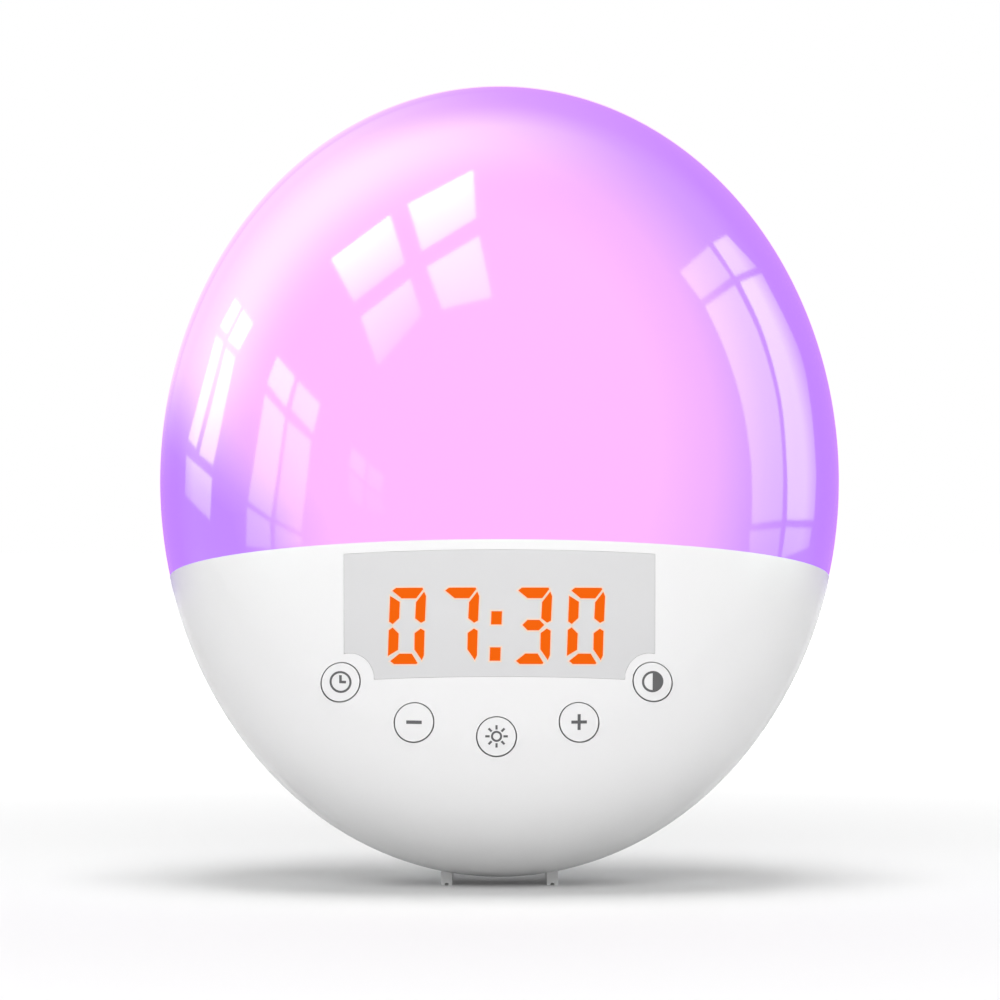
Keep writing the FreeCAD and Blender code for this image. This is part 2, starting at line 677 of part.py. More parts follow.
def light_bowl():
    """Shallow white bowl with a flat floor, which throws the light forward into the dome."""
    half = Part.makeSphere(1.0, Vector(0, 0, 0), BACK, 0, 90, 360)
    half_x, half_z = section_halves(FRONT_WALL + BOWL_EDGE_GAP, BOWL_FRONT_Y)
    outer = scaled(half, half_x, BOWL_DEPTH, half_z)
    inner = scaled(half, half_x - BOWL_WALL, BOWL_DEPTH - BOWL_WALL, half_z - BOWL_WALL)
    outer.translate(Vector(0, BOWL_FRONT_Y, 0))
    inner.translate(Vector(0, BOWL_FRONT_Y, 0))
    shell = outer.common(box(-FAR, FAR, -FAR, BOWL_FLOOR_Y + BOWL_WALL, DOME_CUT_Z + LOOSE, FAR))
    shell = shell.cut(inner.common(slab_y(-FAR, BOWL_FLOOR_Y)))
    cuts = rods(LED_BOARD_SCREWS, SMALL_HOLE, -FAR, FAR)
    cuts += rods(CASE_SCREWS, BOSS_DIAMETER + 2 * LOOSE, -FAR, FAR)
    cuts.append(rod(WIRE_HOLE, -FAR, FAR, 0, LED_WIRE_Z))
    return shell.cut(cuts)


def led_board():
    board = oval_plate(
        LED_BOARD_HALF_WIDTH,
        LED_BOARD_HALF_HEIGHT,
        LED_BOARD_FRONT_Y,
        BOWL_FLOOR_Y,
        LED_BOARD_Z,
    )
    return board.cut(rods(LED_BOARD_SCREWS, SMALL_HOLE, -FAR, FAR))


def dome_leds():
    leds = []
    for share, count in LED_RINGS:
        for angle in turns(count, math.pi / count):
            x = share * LED_BOARD_HALF_WIDTH * math.cos(angle)
            z = LED_BOARD_Z + share * LED_BOARD_HALF_HEIGHT * math.sin(angle)
            leds.append(block(LED_SIZE / 2, LED_BOARD_FRONT_Y - LED_HEIGHT, LED_BOARD_FRONT_Y, x, z))
    return Part.makeCompound(leds)


def screw(x, z, seat_y, way, length, big):
    """Pan-head screw seated on y = seat_y; way is the side its point is on."""
    shank_d = SCREW_DIAMETER if big else SMALL_SCREW_DIAMETER
    head_d = SCREW_HEAD_DIAMETER if big else SMALL_HEAD_DIAMETER
    head_h = SCREW_HEAD_HEIGHT if big else SMALL_HEAD_HEIGHT
    head = rod(head_d, seat_y, seat_y - way * head_h, x, z)
    slot = box(
        x - head_d / 3,
        x + head_d / 3,
        min(seat_y - way * head_h, seat_y - way * head_h / 2),
        max(seat_y - way * head_h, seat_y - way * head_h / 2),
        z - SLOT_WIDTH / 2,
        z + SLOT_WIDTH / 2,
    )
    cross = slot.copy()
    cross.rotate(Vector(x, 0, z), BACK, 90)
    return joined([head, rod(shank_d, seat_y, seat_y + way * length, x, z)]).cut([slot, cross])


def screw_group(places, seat_y, way, length, big=False):
    return Part.makeCompound([screw(x, z, seat_y, way, length, big) for x, z in places])


def screws():
    through = FRAME_THICK + SCREW_BITE
    on_board = BOARD_THICK + SMALL_BITE
    stack = BOARD_THICK + BOWL_WALL + SMALL_BITE
    case_y = FRAME_REAR_Y + POST_END
    rear_y = REAR_BOARD_Y - BOARD_THICK
    speaker_y = SPEAKER_SEAT_Y - SPEAKER_FLANGE
    return {
        "case_screws": screw_group(CASE_SCREWS, case_y, -1, POST_END + through, True),
        "dome_screws": screw_group(DOME_SCREWS, FRAME_REAR_Y, -1, through, True),
        "panel_screws": screw_group(PANEL_SCREWS, FRAME_REAR_Y, -1, through, True),
        "main_board_screws": screw_group(BOARD_SCREWS, MAIN_BOARD_REAR_Y, -1, on_board),
        "led_board_screws": screw_group(LED_BOARD_SCREWS, LED_BOARD_FRONT_Y, 1, stack),
        "speaker_screws": screw_group(SPEAKER_SCREWS, speaker_y, 1, SPEAKER_FLANGE + SMALL_BITE),
        "rear_board_screws": screw_group(REAR_BOARD_SCREWS, rear_y, 1, on_board),
    }


def speaker_basket():
    """Pressed frame of the speaker: screw flange, open cone of arms and a seat for the magnet."""
    flange_y = SPEAKER_SEAT_Y - SPEAKER_FLANGE
    base_y = flange_y - BASKET_DEPTH
    inner = SPEAKER_DIAMETER - 2 * SPEAKER_RIM
    flange = tube(SPEAKER_DIAMETER, inner, flange_y, SPEAKER_SEAT_Y, 0, SPEAKER_Z)
    skirt = cone(MAGNET_DIAMETER + 2, inner + 2, base_y, flange_y, SPEAKER_Z)
    hollow = cone(MAGNET_DIAMETER, inner, base_y + BASKET_WALL, flange_y, SPEAKER_Z)
    opening = rod(COIL_DIAMETER + 4 * COIL_GAP, base_y - 1, flange_y, 0, SPEAKER_Z)
    spots = ring_places(BASKET_WINDOW_REACH * SPEAKER_DIAMETER / 2, 4, SPEAKER_Z)
    windows = rods(spots, BASKET_WINDOW, base_y + 2 * BASKET_WALL, flange_y - BASKET_WALL)
    basket = joined([flange, skirt]).cut([hollow, opening] + windows)
    return basket.cut(rods(SPEAKER_SCREWS, SMALL_HOLE, -FAR, FAR))


def speaker_magnet():
    """Ring magnet with its pole, parted by the narrow gap that the coil moves in."""
    top_y = SPEAKER_SEAT_Y - SPEAKER_FLANGE - BASKET_DEPTH
    body = rod(MAGNET_DIAMETER, top_y - MAGNET_HEIGHT, top_y, 0, SPEAKER_Z)
    gap_floor = top_y - COIL_SUNK - COIL_ROOM
    gap_inner = COIL_BORE - 2 * COIL_GAP
    gap = tube(COIL_DIAMETER + 4 * COIL_GAP, gap_inner, gap_floor, top_y, 0, SPEAKER_Z)
    return body.cut(gap)


def speaker_cone():
    """Paper cone with dust cap and voice coil, which move as one."""
    edge_y = SPEAKER_SEAT_Y - SPEAKER_FLANGE - CONE_TRAVEL - LOOSE
    neck_y = edge_y - CONE_DEPTH
    base_y = SPEAKER_SEAT_Y - SPEAKER_FLANGE - BASKET_DEPTH
    outer = cone(COIL_DIAMETER, CONE_DIAMETER, neck_y, edge_y, SPEAKER_Z)
    neck_inner = COIL_DIAMETER - 2 * CONE_WALL
    edge_inner = CONE_DIAMETER - 2 * CONE_WALL
    inner = cone(neck_inner, edge_inner, neck_y + CONE_WALL, edge_y, SPEAKER_Z)
    coil = tube(COIL_DIAMETER, COIL_BORE, base_y - COIL_SUNK, neck_y + CONE_WALL, 0, SPEAKER_Z)
    return joined([outer.cut(inner), coil])


def speaker_surround():
    """Soft ring glued to the basket's rim round the cone's edge."""
    flange_y = SPEAKER_SEAT_Y - SPEAKER_FLANGE
    outer = SPEAKER_DIAMETER - 2 * SPEAKER_RIM - 2 * PILOT_GAP
    return tube(outer, CONE_DIAMETER + 2 * LOOSE, flange_y, flange_y + SURROUND_THICK, 0, SPEAKER_Z)


def rear_board():
    half = REAR_KEY_PITCH + REAR_BOARD_MARGIN
    board = box(
        -half,
        half,
        REAR_BOARD_Y - BOARD_THICK,
        REAR_BOARD_Y,
        REAR_KEY_Z - REAR_BOARD_HALF_HEIGHT,
        REAR_KEY_Z + REAR_BOARD_HALF_HEIGHT,
    )
    return board.cut(rods(REAR_BOARD_SCREWS, SMALL_HOLE, -FAR, FAR))


def rear_switches():
    return Part.makeCompound([switch_body(x, z, REAR_BOARD_Y, 1) for x, z in REAR_KEYS.values()])


def rear_button(x, z):
    face = rod(KEY_DIAMETER, REAR_FLANGE_Y, REAR_FLAT_Y + KEY_PROUD, x, z)
    flange = rod(FLANGE_DIAMETER, REAR_FLANGE_Y, REAR_FLANGE_Y + FLANGE_THICK, x, z)
    stem = rod(PLUNGER_DIAMETER, REAR_PLUNGER_TIP_Y, REAR_FLANGE_Y, x, z)
    return joined([face, flange, stem])


def backup_cell():
    return rod(CELL_DIAMETER, CELL_FRONT_Y, GROOVE_FRONT_Y, 0, CELL_Z)


def cell_spring_contact():
    leaf_y = CUP_FLOOR_Y + CONTACT_THICK
    leaf = box(
        -LEAF_HALF_LENGTH,
        LEAF_HALF_LENGTH,
        CUP_FLOOR_Y,
        leaf_y,
        CELL_Z - LEAF_HALF_WIDTH,
        CELL_Z + LEAF_HALF_WIDTH,
    )
    dimple = cone(DIMPLE_BASE, DIMPLE_TIP, leaf_y, CELL_FRONT_Y, CELL_Z)
    return joined([leaf, dimple])


def cell_side_contact():
    angle = SIDE_CONTACT_ANGLE
    strip = sector(CUP_INNER / 2, CUP_FLOOR_Y, GROOVE_FRONT_Y, angle, CELL_Z, -angle / 2)
    return strip.cut(rod(CUP_INNER - 2 * CONTACT_THICK, -FAR, FAR, 0, CELL_Z))


def battery_door():
    """Round lid with three bayonet lugs and a coin slot."""
    lid = rod(DOOR_DIAMETER, DOOR_SEAT_Y, REAR_FLAT_Y, 0, CELL_Z)
    neck = rod(DOOR_NECK, LUG_FRONT_Y, DOOR_SEAT_Y, 0, CELL_Z)
    lugs = [
        sector(LUG_REACH, LUG_FRONT_Y, LUG_REAR_Y, DOOR_LUG_ANGLE, CELL_Z, start)
        for start in DOOR_LUG_STARTS
    ]
    slot = box(
        -COIN_SLOT_LENGTH / 2,
        COIN_SLOT_LENGTH / 2,
        REAR_FLAT_Y - COIN_SLOT_DEPTH,
        FAR,
        CELL_Z - COIN_SLOT_WIDTH / 2,
        CELL_Z + COIN_SLOT_WIDTH / 2,
    )
    return joined([lid, neck] + lugs).cut(slot)


def dc_jack():
    body = rod(JACK_DIAMETER, REAR_FLAT_Y - JACK_LENGTH, REAR_FLAT_Y, 0, JACK_Z)
    flange_y = REAR_INNER_Y - JACK_COLLAR
    flange = rod(JACK_HOLE + 2 * JACK_FLANGE_EXTRA, flange_y - JACK_FLANGE, flange_y, 0, JACK_Z)
    return joined([body, flange]).cut(rod(JACK_BORE, REAR_FLAT_Y - JACK_BORE_DEPTH, FAR, 0, JACK_Z))


def jack_pin():
    return rod(JACK_PIN, REAR_FLAT_Y - JACK_BORE_DEPTH, REAR_FLAT_Y - JACK_PIN_SHORT, 0, JACK_Z)


def grille_places():
    places = [(0.0, SPEAKER_Z)]
    for ring in range(1, GRILLE_RINGS + 1):
        places += ring_places(ring * GRILLE_PITCH, 6 * ring, SPEAKER_Z)
    return places


def rear_shell():
    shell = rear_body().cut(rear_body(REAR_WALL))
    lip = layer(SKIN_OF_LIP + LIP_GAP, FRONT_WALL).common(slab_y(-JOINT_LIP, 1))
    posts = rods(CASE_SCREWS, POST_DIAMETER, 0, FAR)
    posts += rods(SPEAKER_SCREWS, SMALL_BOSS_DIAMETER, SPEAKER_SEAT_Y, FAR)
    posts += rods(REAR_BOARD_SCREWS, SMALL_BOSS_DIAMETER, REAR_BOARD_Y, FAR)
    posts.append(rod(CUP_OUTER, CUP_FLOOR_Y - CELL_CUP_WALL, FAR, 0, CELL_Z))
    collar = JACK_HOLE + 2 * JACK_FLANGE_EXTRA
    posts.append(rod(collar, REAR_INNER_Y - JACK_COLLAR, FAR, 0, JACK_Z))
    ring_inner = SPEAKER_DIAMETER - 2 * SPEAKER_RING_WALL
    ring = tube(SPEAKER_DIAMETER, ring_inner, SPEAKER_SEAT_Y, FAR, 0, SPEAKER_Z)
    posts = Part.makeCompound(posts + [ring]).common(rear_body(REAR_WALL / 2))
    post_fronts = rods(CASE_SCREWS, POST_DIAMETER, FRAME_REAR_Y, 0)
    shell = joined([shell, lip] + posts.Solids + post_fronts)
    cuts = [
        rod(CUP_INNER, CUP_FLOOR_Y, GROOVE_FRONT_Y, 0, CELL_Z),
        rod(2 * (LUG_REACH + LOOSE), GROOVE_FRONT_Y, LUG_REAR_Y + LOOSE, 0, CELL_Z),
        rod(DOOR_NECK + 2 * LOOSE, LUG_FRONT_Y, FAR, 0, CELL_Z),
        rod(DOOR_DIAMETER + 2 * DOOR_GAP, DOOR_SEAT_Y - DOOR_SEAT_GAP, FAR, 0, CELL_Z),
        rod(JACK_HOLE, 0, FAR, 0, JACK_Z),
    ]
    slot_angle = DOOR_LUG_ANGLE + 2 * DOOR_SLOT_SLACK
    slot_turn = DOOR_TURN - DOOR_SLOT_SLACK
    cuts += [
        sector(LUG_REACH + LOOSE, LUG_FRONT_Y, FAR, slot_angle, CELL_Z, start + slot_turn)
        for start in DOOR_LUG_STARTS
    ]
    cuts += rods(CASE_SCREWS, SCREW_HOLE, FRAME_REAR_Y - 1, FAR)
    cuts += rods(CASE_SCREWS, HEAD_WELL, FRAME_REAR_Y + POST_END, FAR)
    cuts += rods(SPEAKER_SCREWS, SMALL_PILOT, SPEAKER_SEAT_Y - 1, SPEAKER_SEAT_Y + SMALL_BITE + PILOT_EXTRA)
    cuts += rods(REAR_BOARD_SCREWS, SMALL_PILOT, REAR_BOARD_Y - 1, REAR_BOARD_Y + SMALL_BITE + PILOT_EXTRA)
    cuts += rods(REAR_KEYS.values(), KEY_BORE, REAR_INNER_Y - 1, FAR)
    cuts += rods(grille_places(), GRILLE_HOLE, REAR_INNER_Y - 1, FAR)
    cuts += [peg(side, PEG_DIAMETER + 2 * PILOT_GAP) for side in (-1, 1)]
    return shell.cut(cuts)


def upright(shape):
    """Turns a shape drawn about the standing clock into the case's own frame."""
    shape.translate(Vector(0, 0, -lift()))
    shape.Placement = LEANED.inverse().multiply(shape.Placement)
    return shape


def lift():
    """Height of the case's centre above the floor."""
    lean = math.radians(LEAN)
    return GROUND_GAP + math.hypot(HALF_HEIGHT * math.cos(lean), FRONT_DEPTH * math.sin(lean))


def peg(side, diameter):
    """Peg on top of a foot that fixes it in the rear shell."""
    x = side * FOOT_SPACING / 2
    return upright(Part.makeCylinder(diameter / 2, PEG_LENGTH, Vector(x, PEG_Y, 0), UP))


def foot(side):
    """Thin fin that stands on the floor and follows the underside of the case."""
    x = side * FOOT_SPACING / 2
    half = FOOT_WIDTH / 2
    fin = box(x - half, x + half, FOOT_FRONT_Y, FOOT_REAR_Y, 0, lift())
    groove = FOOT_GROOVE / 2
    ends = FOOT_FRONT_Y - 1, FOOT_REAR_Y + 1
    fin = fin.cut(box(x - groove, x + groove, *ends, -1, FOOT_GROOVE_DEPTH))
    fin = upright(fin).cut([front_body(), rear_body()])
    low = min(fin.Solids, key=lambda solid: solid.BoundBox.ZMin)
    above_floor = peg(side, PEG_DIAMETER).cut(upright(box(-FAR, FAR, -FAR, FAR, -1, 1)))
    return joined([low, above_floor])


def pieces():
    nodes = {
        piece.__name__: piece()
        for piece in (
            light_dome,
            front_panel,
            rear_shell,
            display_window,
            display_segments,
            display_housing,
            segment_dies,
            main_board,
            key_switches,
            control_chip,
            sound_chip,
            timing_crystal,
            capacitors,
            inner_frame,
            light_bowl,
            led_board,
            dome_leds,
            speaker_basket,
            speaker_magnet,
            speaker_cone,
            speaker_surround,
            rear_board,
            rear_switches,
            backup_cell,
            cell_spring_contact,
            cell_side_contact,
            battery_door,
            dc_jack,
            jack_pin,
        )
    }
    nodes.update(screws())
    nodes["foot_left"] = foot(-1)
    nodes["foot_right"] = foot(1)
    for name, (x, z) in KEYS.items():
        nodes["button_" + name] = button(x, z)
        nodes["plunger_" + name] = plunger(x, z, PLUNGER_TIP_Y, 1)
    for name, (x, z) in REAR_KEYS.items():
        nodes["button_" + name] = rear_button(x, z)
        nodes["plunger_" + name] = plunger(x, z, REAR_PLUNGER_TIP_Y, -1)
    return nodes


def centring():
    """Shift along y that puts the middle of the leaned case's depth at y = 0."""
    lean = math.radians(LEAN)
    front_reach = math.hypot(FRONT_DEPTH * math.cos(lean), HALF_HEIGHT * math.sin(lean))
    flat_half = HALF_HEIGHT * math.sqrt(1 - (REAR_FLAT_Y / REAR_DEPTH) ** 2)
    rear_reach = REAR_FLAT_Y * math.cos(lean) + flat_half * math.sin(lean)
    return (front_reach - rear_reach) / 2


def stand(shape):
    """Leans a piece back with the case and lifts it on to its feet."""
    shape.Placement = LEANED.multiply(shape.Placement)
    shape.translate(Vector(0, centring(), lift()))
    return shape


os.makedirs("parts", exist_ok=True)
for name, shape in pieces().items():
    print(name, shape.isValid(), len(shape.Solids), round(shape.Volume, 1), shape.ShapeType)
    stand(shape).exportStep("parts/" + name + ".step")
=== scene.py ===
"""Looks of the sunrise alarm clock: shells, lit figures, key marks, materials, studio and camera.

Everything is in metres in the row frame. The case has a frame of its own, leaned back with it:
x across, y from front to back and z along its height, with y = 0 at its widest section.
"""
import json
import math

import bmesh
import bpy
import numpy as np
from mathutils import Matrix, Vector
from mathutils.geometry import tessellate_polygon


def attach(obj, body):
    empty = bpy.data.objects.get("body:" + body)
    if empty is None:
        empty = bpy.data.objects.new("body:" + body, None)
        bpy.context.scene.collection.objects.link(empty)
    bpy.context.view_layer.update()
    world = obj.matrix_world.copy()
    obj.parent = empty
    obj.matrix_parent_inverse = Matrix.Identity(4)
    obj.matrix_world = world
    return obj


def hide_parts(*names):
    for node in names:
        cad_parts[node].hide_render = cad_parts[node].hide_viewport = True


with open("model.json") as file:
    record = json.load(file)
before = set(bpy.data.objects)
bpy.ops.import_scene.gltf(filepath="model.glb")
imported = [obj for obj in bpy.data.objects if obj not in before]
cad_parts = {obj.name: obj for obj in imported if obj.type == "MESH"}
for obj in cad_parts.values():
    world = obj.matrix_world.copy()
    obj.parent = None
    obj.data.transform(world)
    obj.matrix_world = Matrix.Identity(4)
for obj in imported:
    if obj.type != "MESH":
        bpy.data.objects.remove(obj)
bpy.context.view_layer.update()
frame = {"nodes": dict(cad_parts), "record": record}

# case
HALF_WIDTH = 0.0825
HALF_HEIGHT = 0.09767
FRONT_DEPTH = 0.050
REAR_DEPTH = 0.046
REAR_FLAT_Y = 0.038
LEAN = math.radians(12.0)
CASE_ORIGIN = np.array([0.0, 0.002171, 0.0977996])
KEY_PROUD = 0.00025

# fine copies of the shells
SURFACE_SLACK = 0.00006
SHELL_EDGE = 0.0030
SHELL_ROUNDS = 6
WELD_DISTANCE = 2e-6
OUTWARD_FACING = 0.93
SMOOTH_ANGLE = math.cos(math.radians(32.0))

# lit figures: places of their middle lines, and their size
FIGURE_X = -0.02173
FIGURE_PITCH = 0.01225
COLON_PITCH = 0.0168
FIGURE_BOTTOM_Z = -0.05335
FIGURE_SLANT = math.radians(2.2)
FIGURE_UNIT = 0.01685 / 73.4
COLON_HALF_WIDTH = 0.00113
COLON_HALF_HEIGHT = 0.00138
COLON_RISES = (0.01015, 0.0021)
BAR_GROW = 0.0001
FIGURE_LEVEL = 0.7
FIGURE_DROP = 0.0002
HALO_GROW = 0.00042
HALO_LIFT = 0.00004
FIGURE_LIFT = 0.00008
MARK_LIFT = 0.00005
SINK = 0.00012
INLAY_EDGE = 0.0009
INLAY_ROUNDS = 5

# camera and its picture
CAMERA_DISTANCE = 1.0
CAMERA_X = 0.00012
CAMERA_DROP = 0.0060
LENS = 148.14
SENSOR = 36.0
PICTURE = 1000.0

# studio, with powers in watts
AMBIENT = 0.35
PANE_DISTANCE = 1.4
DOME_IOR = 1.35
MIDDLE = (0.0, 0.0, 0.1)
KEY_PLACE = (-0.05, -1.2, 1.12)
KEY_SIZE = (1.3, 0.9)
KEY_POWER = 14.5
SPILL_POWER = 7.0
TOP_PLACE = (0.0, 0.0, 1.6)
TOP_SIZE = (0.7, 0.7)
TOP_POWER = 14.6
BACK_PLACE = (0.0, 1.1, 1.1)
BACK_SIZE = (1.3, 0.8)
BACK_POWER = 3.5

# floor: its brightness for the camera is lifted between two distances from the clock
FLOOR_HALF = 6.0
FLOOR_COLOUR = (0.80, 0.80, 0.80)
FLOOR_LIFT_NEAR = 0.04
FLOOR_LIFT_FAR = 0.75
FLOOR_NEAR = 0.10
FLOOR_FAR = 1.0

lean_cos = math.cos(LEAN)
lean_sin = math.sin(LEAN)


def to_row(points):
    """Points of the case's frame in the row frame."""
    p = np.asarray(points, float).reshape(-1, 3)
    y = p[:, 1] * lean_cos + p[:, 2] * lean_sin
    z = p[:, 2] * lean_cos - p[:, 1] * lean_sin
    return np.stack([p[:, 0], y, z], 1) + CASE_ORIGIN


def turn_to_row(vectors):
    return to_row(vectors) - CASE_ORIGIN


def to_case(points):
    """Points of the row frame in the case's frame."""
    p = np.asarray(points, float).reshape(-1, 3) - CASE_ORIGIN
    y = p[:, 1] * lean_cos - p[:, 2] * lean_sin
    z = p[:, 1] * lean_sin + p[:, 2] * lean_cos
    return np.stack([p[:, 0], y, z], 1)


def halves(grow=0.0):
    return np.array([HALF_WIDTH + grow, FRONT_DEPTH + grow, HALF_HEIGHT + grow])


def front_y(x, z, grow=0.0):
    """Depth of the front surface, moved out by grow, at x, z of the case's frame."""
    a, b, c = halves(grow)
    return -b * math.sqrt(max(0.0, 1 - (x / a) ** 2 - (z / c) ** 2))


def new_material(name):
    mat = bpy.data.materials.new(name)
    mat.use_nodes = True
    tree = mat.node_tree
    return mat, tree, tree.nodes["Principled BSDF"]


def empty_tree(owner):
    """Node tree of a material or world, cleared, with a new output node of the kind it needs."""
    owner.use_nodes = True
    tree = owner.node_tree
    tree.nodes.clear()
    is_world = isinstance(owner, bpy.types.World)
    out = tree.nodes.new("ShaderNodeOutputWorld" if is_world else "ShaderNodeOutputMaterial")
    return tree, out.inputs["Surface"]


def add(tree, kind, **values):
    node = tree.nodes.new(kind)
    for key, value in values.items():
        setattr(node, key, value)
    return node


ROUGH_SPREAD = 0.04
PLASTIC_GRAIN = 300.0
FIGURE_ROUGH = 0.3


def uneven(tree, target, low, high, scale):
    """Drives a socket with faint noise between low and high."""
    coords = add(tree, "ShaderNodeTexCoord")
    noise = add(tree, "ShaderNodeTexNoise")
    noise.inputs["Scale"].default_value = scale
    spread = add(tree, "ShaderNodeMapRange")
    spread.inputs["To Min"].default_value = low
    spread.inputs["To Max"].default_value = high
    tree.links.new(coords.outputs["Object"], noise.inputs["Vector"])
    tree.links.new(noise.outputs["Fac"], spread.inputs["Value"])
    tree.links.new(spread.outputs["Result"], target)


def plain(name, colour, rough, metal=0.0, ior=1.5):
    mat, tree, shader = new_material(name)
    shader.inputs["Base Color"].default_value = (*colour, 1)
    shader.inputs["Metallic"].default_value = metal
    shader.inputs["IOR"].default_value = ior
    half = ROUGH_SPREAD / 2
    uneven(tree, shader.inputs["Roughness"], rough - half, rough + half, PLASTIC_GRAIN)
    return mat


def glowing(name, colour, strength, base):
    mat, tree, shader = new_material(name)
    shader.inputs["Base Color"].default_value = (*base, 1)
    shader.inputs["Emission Color"].default_value = (*colour, 1)
    shader.inputs["Emission Strength"].default_value = strength
    shader.inputs["Specular IOR Level"].default_value = 0.0
    uneven(tree, shader.inputs["Roughness"], FIGURE_ROUGH, FIGURE_ROUGH + 0.04, PLASTIC_GRAIN)
    return mat


def ramp(tree, value, stops):
    node = add(tree, "ShaderNodeValToRGB")
    node.color_ramp.interpolation = "LINEAR"
    elements = node.color_ramp.elements
    while len(elements) < len(stops):
        elements.new(0.5)
    for element, (place, colour) in zip(elements, stops):
        element.position = place
        element.color = (*colour, 1)
    tree.links.new(value, node.inputs["Fac"])
    return node.outputs["Color"]


def maths(tree, operation, *inputs, clamp=False):
    node = add(tree, "ShaderNodeMath", operation=operation, use_clamp=clamp)
    for socket, value in zip(node.inputs, inputs):
        if isinstance(value, (int, float)):
            socket.default_value = value
        else:
            tree.links.new(value, socket)
    return node.outputs[0]


DOME_PINK = (0.905, 0.437, 0.93)
DOME_ROSE = (0.80, 0.385, 0.94)
DOME_LILAC = (0.69, 0.34, 0.95)
DOME_VIOLET = (0.57, 0.27, 0.96)
DOME_PURPLE = (0.50, 0.22, 0.98)
DOME_STOPS = (
    (0.60, DOME_PINK),
    (0.76, DOME_ROSE),
    (0.83, DOME_LILAC),
    (0.91, DOME_VIOLET),
    (1.0, DOME_PURPLE),
)
DOME_GLOW = 0.87
DOME_BASE_SHARE = 0.20
DOME_ROUGH = 0.06
DOME_HALF_RISE = 0.0961
PINK_SHIFT_LEFT = 0.15
PINK_SHIFT_UP = 0.06
LOW_LEFT_START = -0.2
LOW_LEFT_WIDTH = 0.45
LOW_LEFT_TOP = 0.25
LOW_LEFT_HEIGHT = 0.35
LOW_LEFT_PURPLE = 0.36


def dome_material():
    """Milky plastic lit from inside: pink in the middle, purple at the rim and low on the left."""
    mat, tree, shader = new_material("dome_plastic")
    coords = add(tree, "ShaderNodeTexCoord")
    parts = add(tree, "ShaderNodeSeparateXYZ")
    tree.links.new(coords.outputs["Object"], parts.inputs["Vector"])
    across = maths(tree, "DIVIDE", parts.outputs["X"], HALF_WIDTH)
    height = maths(tree, "SUBTRACT", parts.outputs["Z"], float(CASE_ORIGIN[2]))
    height = maths(tree, "DIVIDE", height, DOME_HALF_RISE)
    moved_x = maths(tree, "ADD", across, PINK_SHIFT_LEFT)
    moved_z = maths(tree, "SUBTRACT", height, PINK_SHIFT_UP)
    square_x = maths(tree, "MULTIPLY", moved_x, moved_x)
    square_z = maths(tree, "MULTIPLY", moved_z, moved_z)
    reach = maths(tree, "SQRT", maths(tree, "ADD", square_x, square_z))
    leftward = maths(tree, "SUBTRACT", LOW_LEFT_START, across)
    leftward = maths(tree, "DIVIDE", leftward, LOW_LEFT_WIDTH, clamp=True)
    downward = maths(tree, "SUBTRACT", LOW_LEFT_TOP, height)
    downward = maths(tree, "DIVIDE", downward, LOW_LEFT_HEIGHT, clamp=True)
    low_left = maths(tree, "MULTIPLY", leftward, downward)
    low_left = maths(tree, "MULTIPLY", low_left, LOW_LEFT_PURPLE)
    colour = ramp(tree, maths(tree, "ADD", reach, low_left), DOME_STOPS)
    shade = add(tree, "ShaderNodeMix", data_type="RGBA", blend_type="MULTIPLY")
    shade.inputs["Factor"].default_value = 1.0
    shade.inputs[7].default_value = (DOME_BASE_SHARE,) * 3 + (1,)
    tree.links.new(colour, shade.inputs[6])
    tree.links.new(shade.outputs[2], shader.inputs["Base Color"])
    tree.links.new(colour, shader.inputs["Emission Color"])
    shader.inputs["Emission Strength"].default_value = DOME_GLOW
    shader.inputs["IOR"].default_value = DOME_IOR
    shader.inputs["Roughness"].default_value = DOME_ROUGH
    return mat


MATERIALS = {
    "dome_plastic": dome_material(),
    "white_plastic": plain("white_plastic", (0.87, 0.87, 0.87), 0.25, ior=1.35),
    "window_plastic": plain("window_plastic", (0.68, 0.68, 0.685), 0.16),
    "segment_plastic": plain("segment_plastic", (0.93, 0.16, 0.01), 0.3),
    "inner_white": plain("inner_white", (0.80, 0.80, 0.80), 0.6),
    "led_plastic": plain("led_plastic", (0.90, 0.84, 0.60), 0.2),
    "board_green": plain("board_green", (0.03, 0.19, 0.07), 0.4),
    "board_white": plain("board_white", (0.80, 0.80, 0.78), 0.4),
    "black_plastic": plain("black_plastic", (0.015, 0.015, 0.016), 0.4),
    "bright_steel": plain("bright_steel", (0.60, 0.60, 0.62), 0.3, 1.0),
    "capacitor_metal": plain("capacitor_metal", (0.50, 0.50, 0.54), 0.35, 1.0),
    "basket_steel": plain("basket_steel", (0.20, 0.20, 0.21), 0.45, 1.0),
    "magnet_ferrite": plain("magnet_ferrite", (0.05, 0.05, 0.05), 0.6),
    "cone_paper": plain("cone_paper", (0.06, 0.06, 0.06), 0.85),
    "soft_black": plain("soft_black", (0.02, 0.02, 0.02), 0.7),
    "contact_metal": plain("contact_metal", (0.75, 0.70, 0.52), 0.3, 1.0),
    "screw_steel": plain("screw_steel", (0.42, 0.42, 0.44), 0.35, 1.0),
    "key_plastic": plain("key_plastic", (0.87, 0.87, 0.87), 0.25, ior=1.35),
    "plunger_plastic": plain("plunger_plastic", (0.10, 0.10, 0.11), 0.5),
    "foot_rubber": plain("foot_rubber", (0.80, 0.80, 0.80), 0.55),
}
slot_of = {part["node"]: part["material_slot"] for part in frame["record"]["subparts"]}
for name, node in frame["nodes"].items():
    finish = MATERIALS[slot_of[name]]
    if not node.data.materials:
        node.data.materials.append(finish)
    for index in range(len(node.data.materials)):
        node.data.materials[index] = finish

mark_ink = plain("mark_ink", (0.105, 0.105, 0.108), 0.35)
figure_light = glowing("figure_light", (0.91, 0.128, 0.004), 1.0, (0.02, 0.004, 0.001))
halo_light = glowing("halo_light", (1.0, 0.77, 0.60), 0.40, (0.50, 0.37, 0.28))


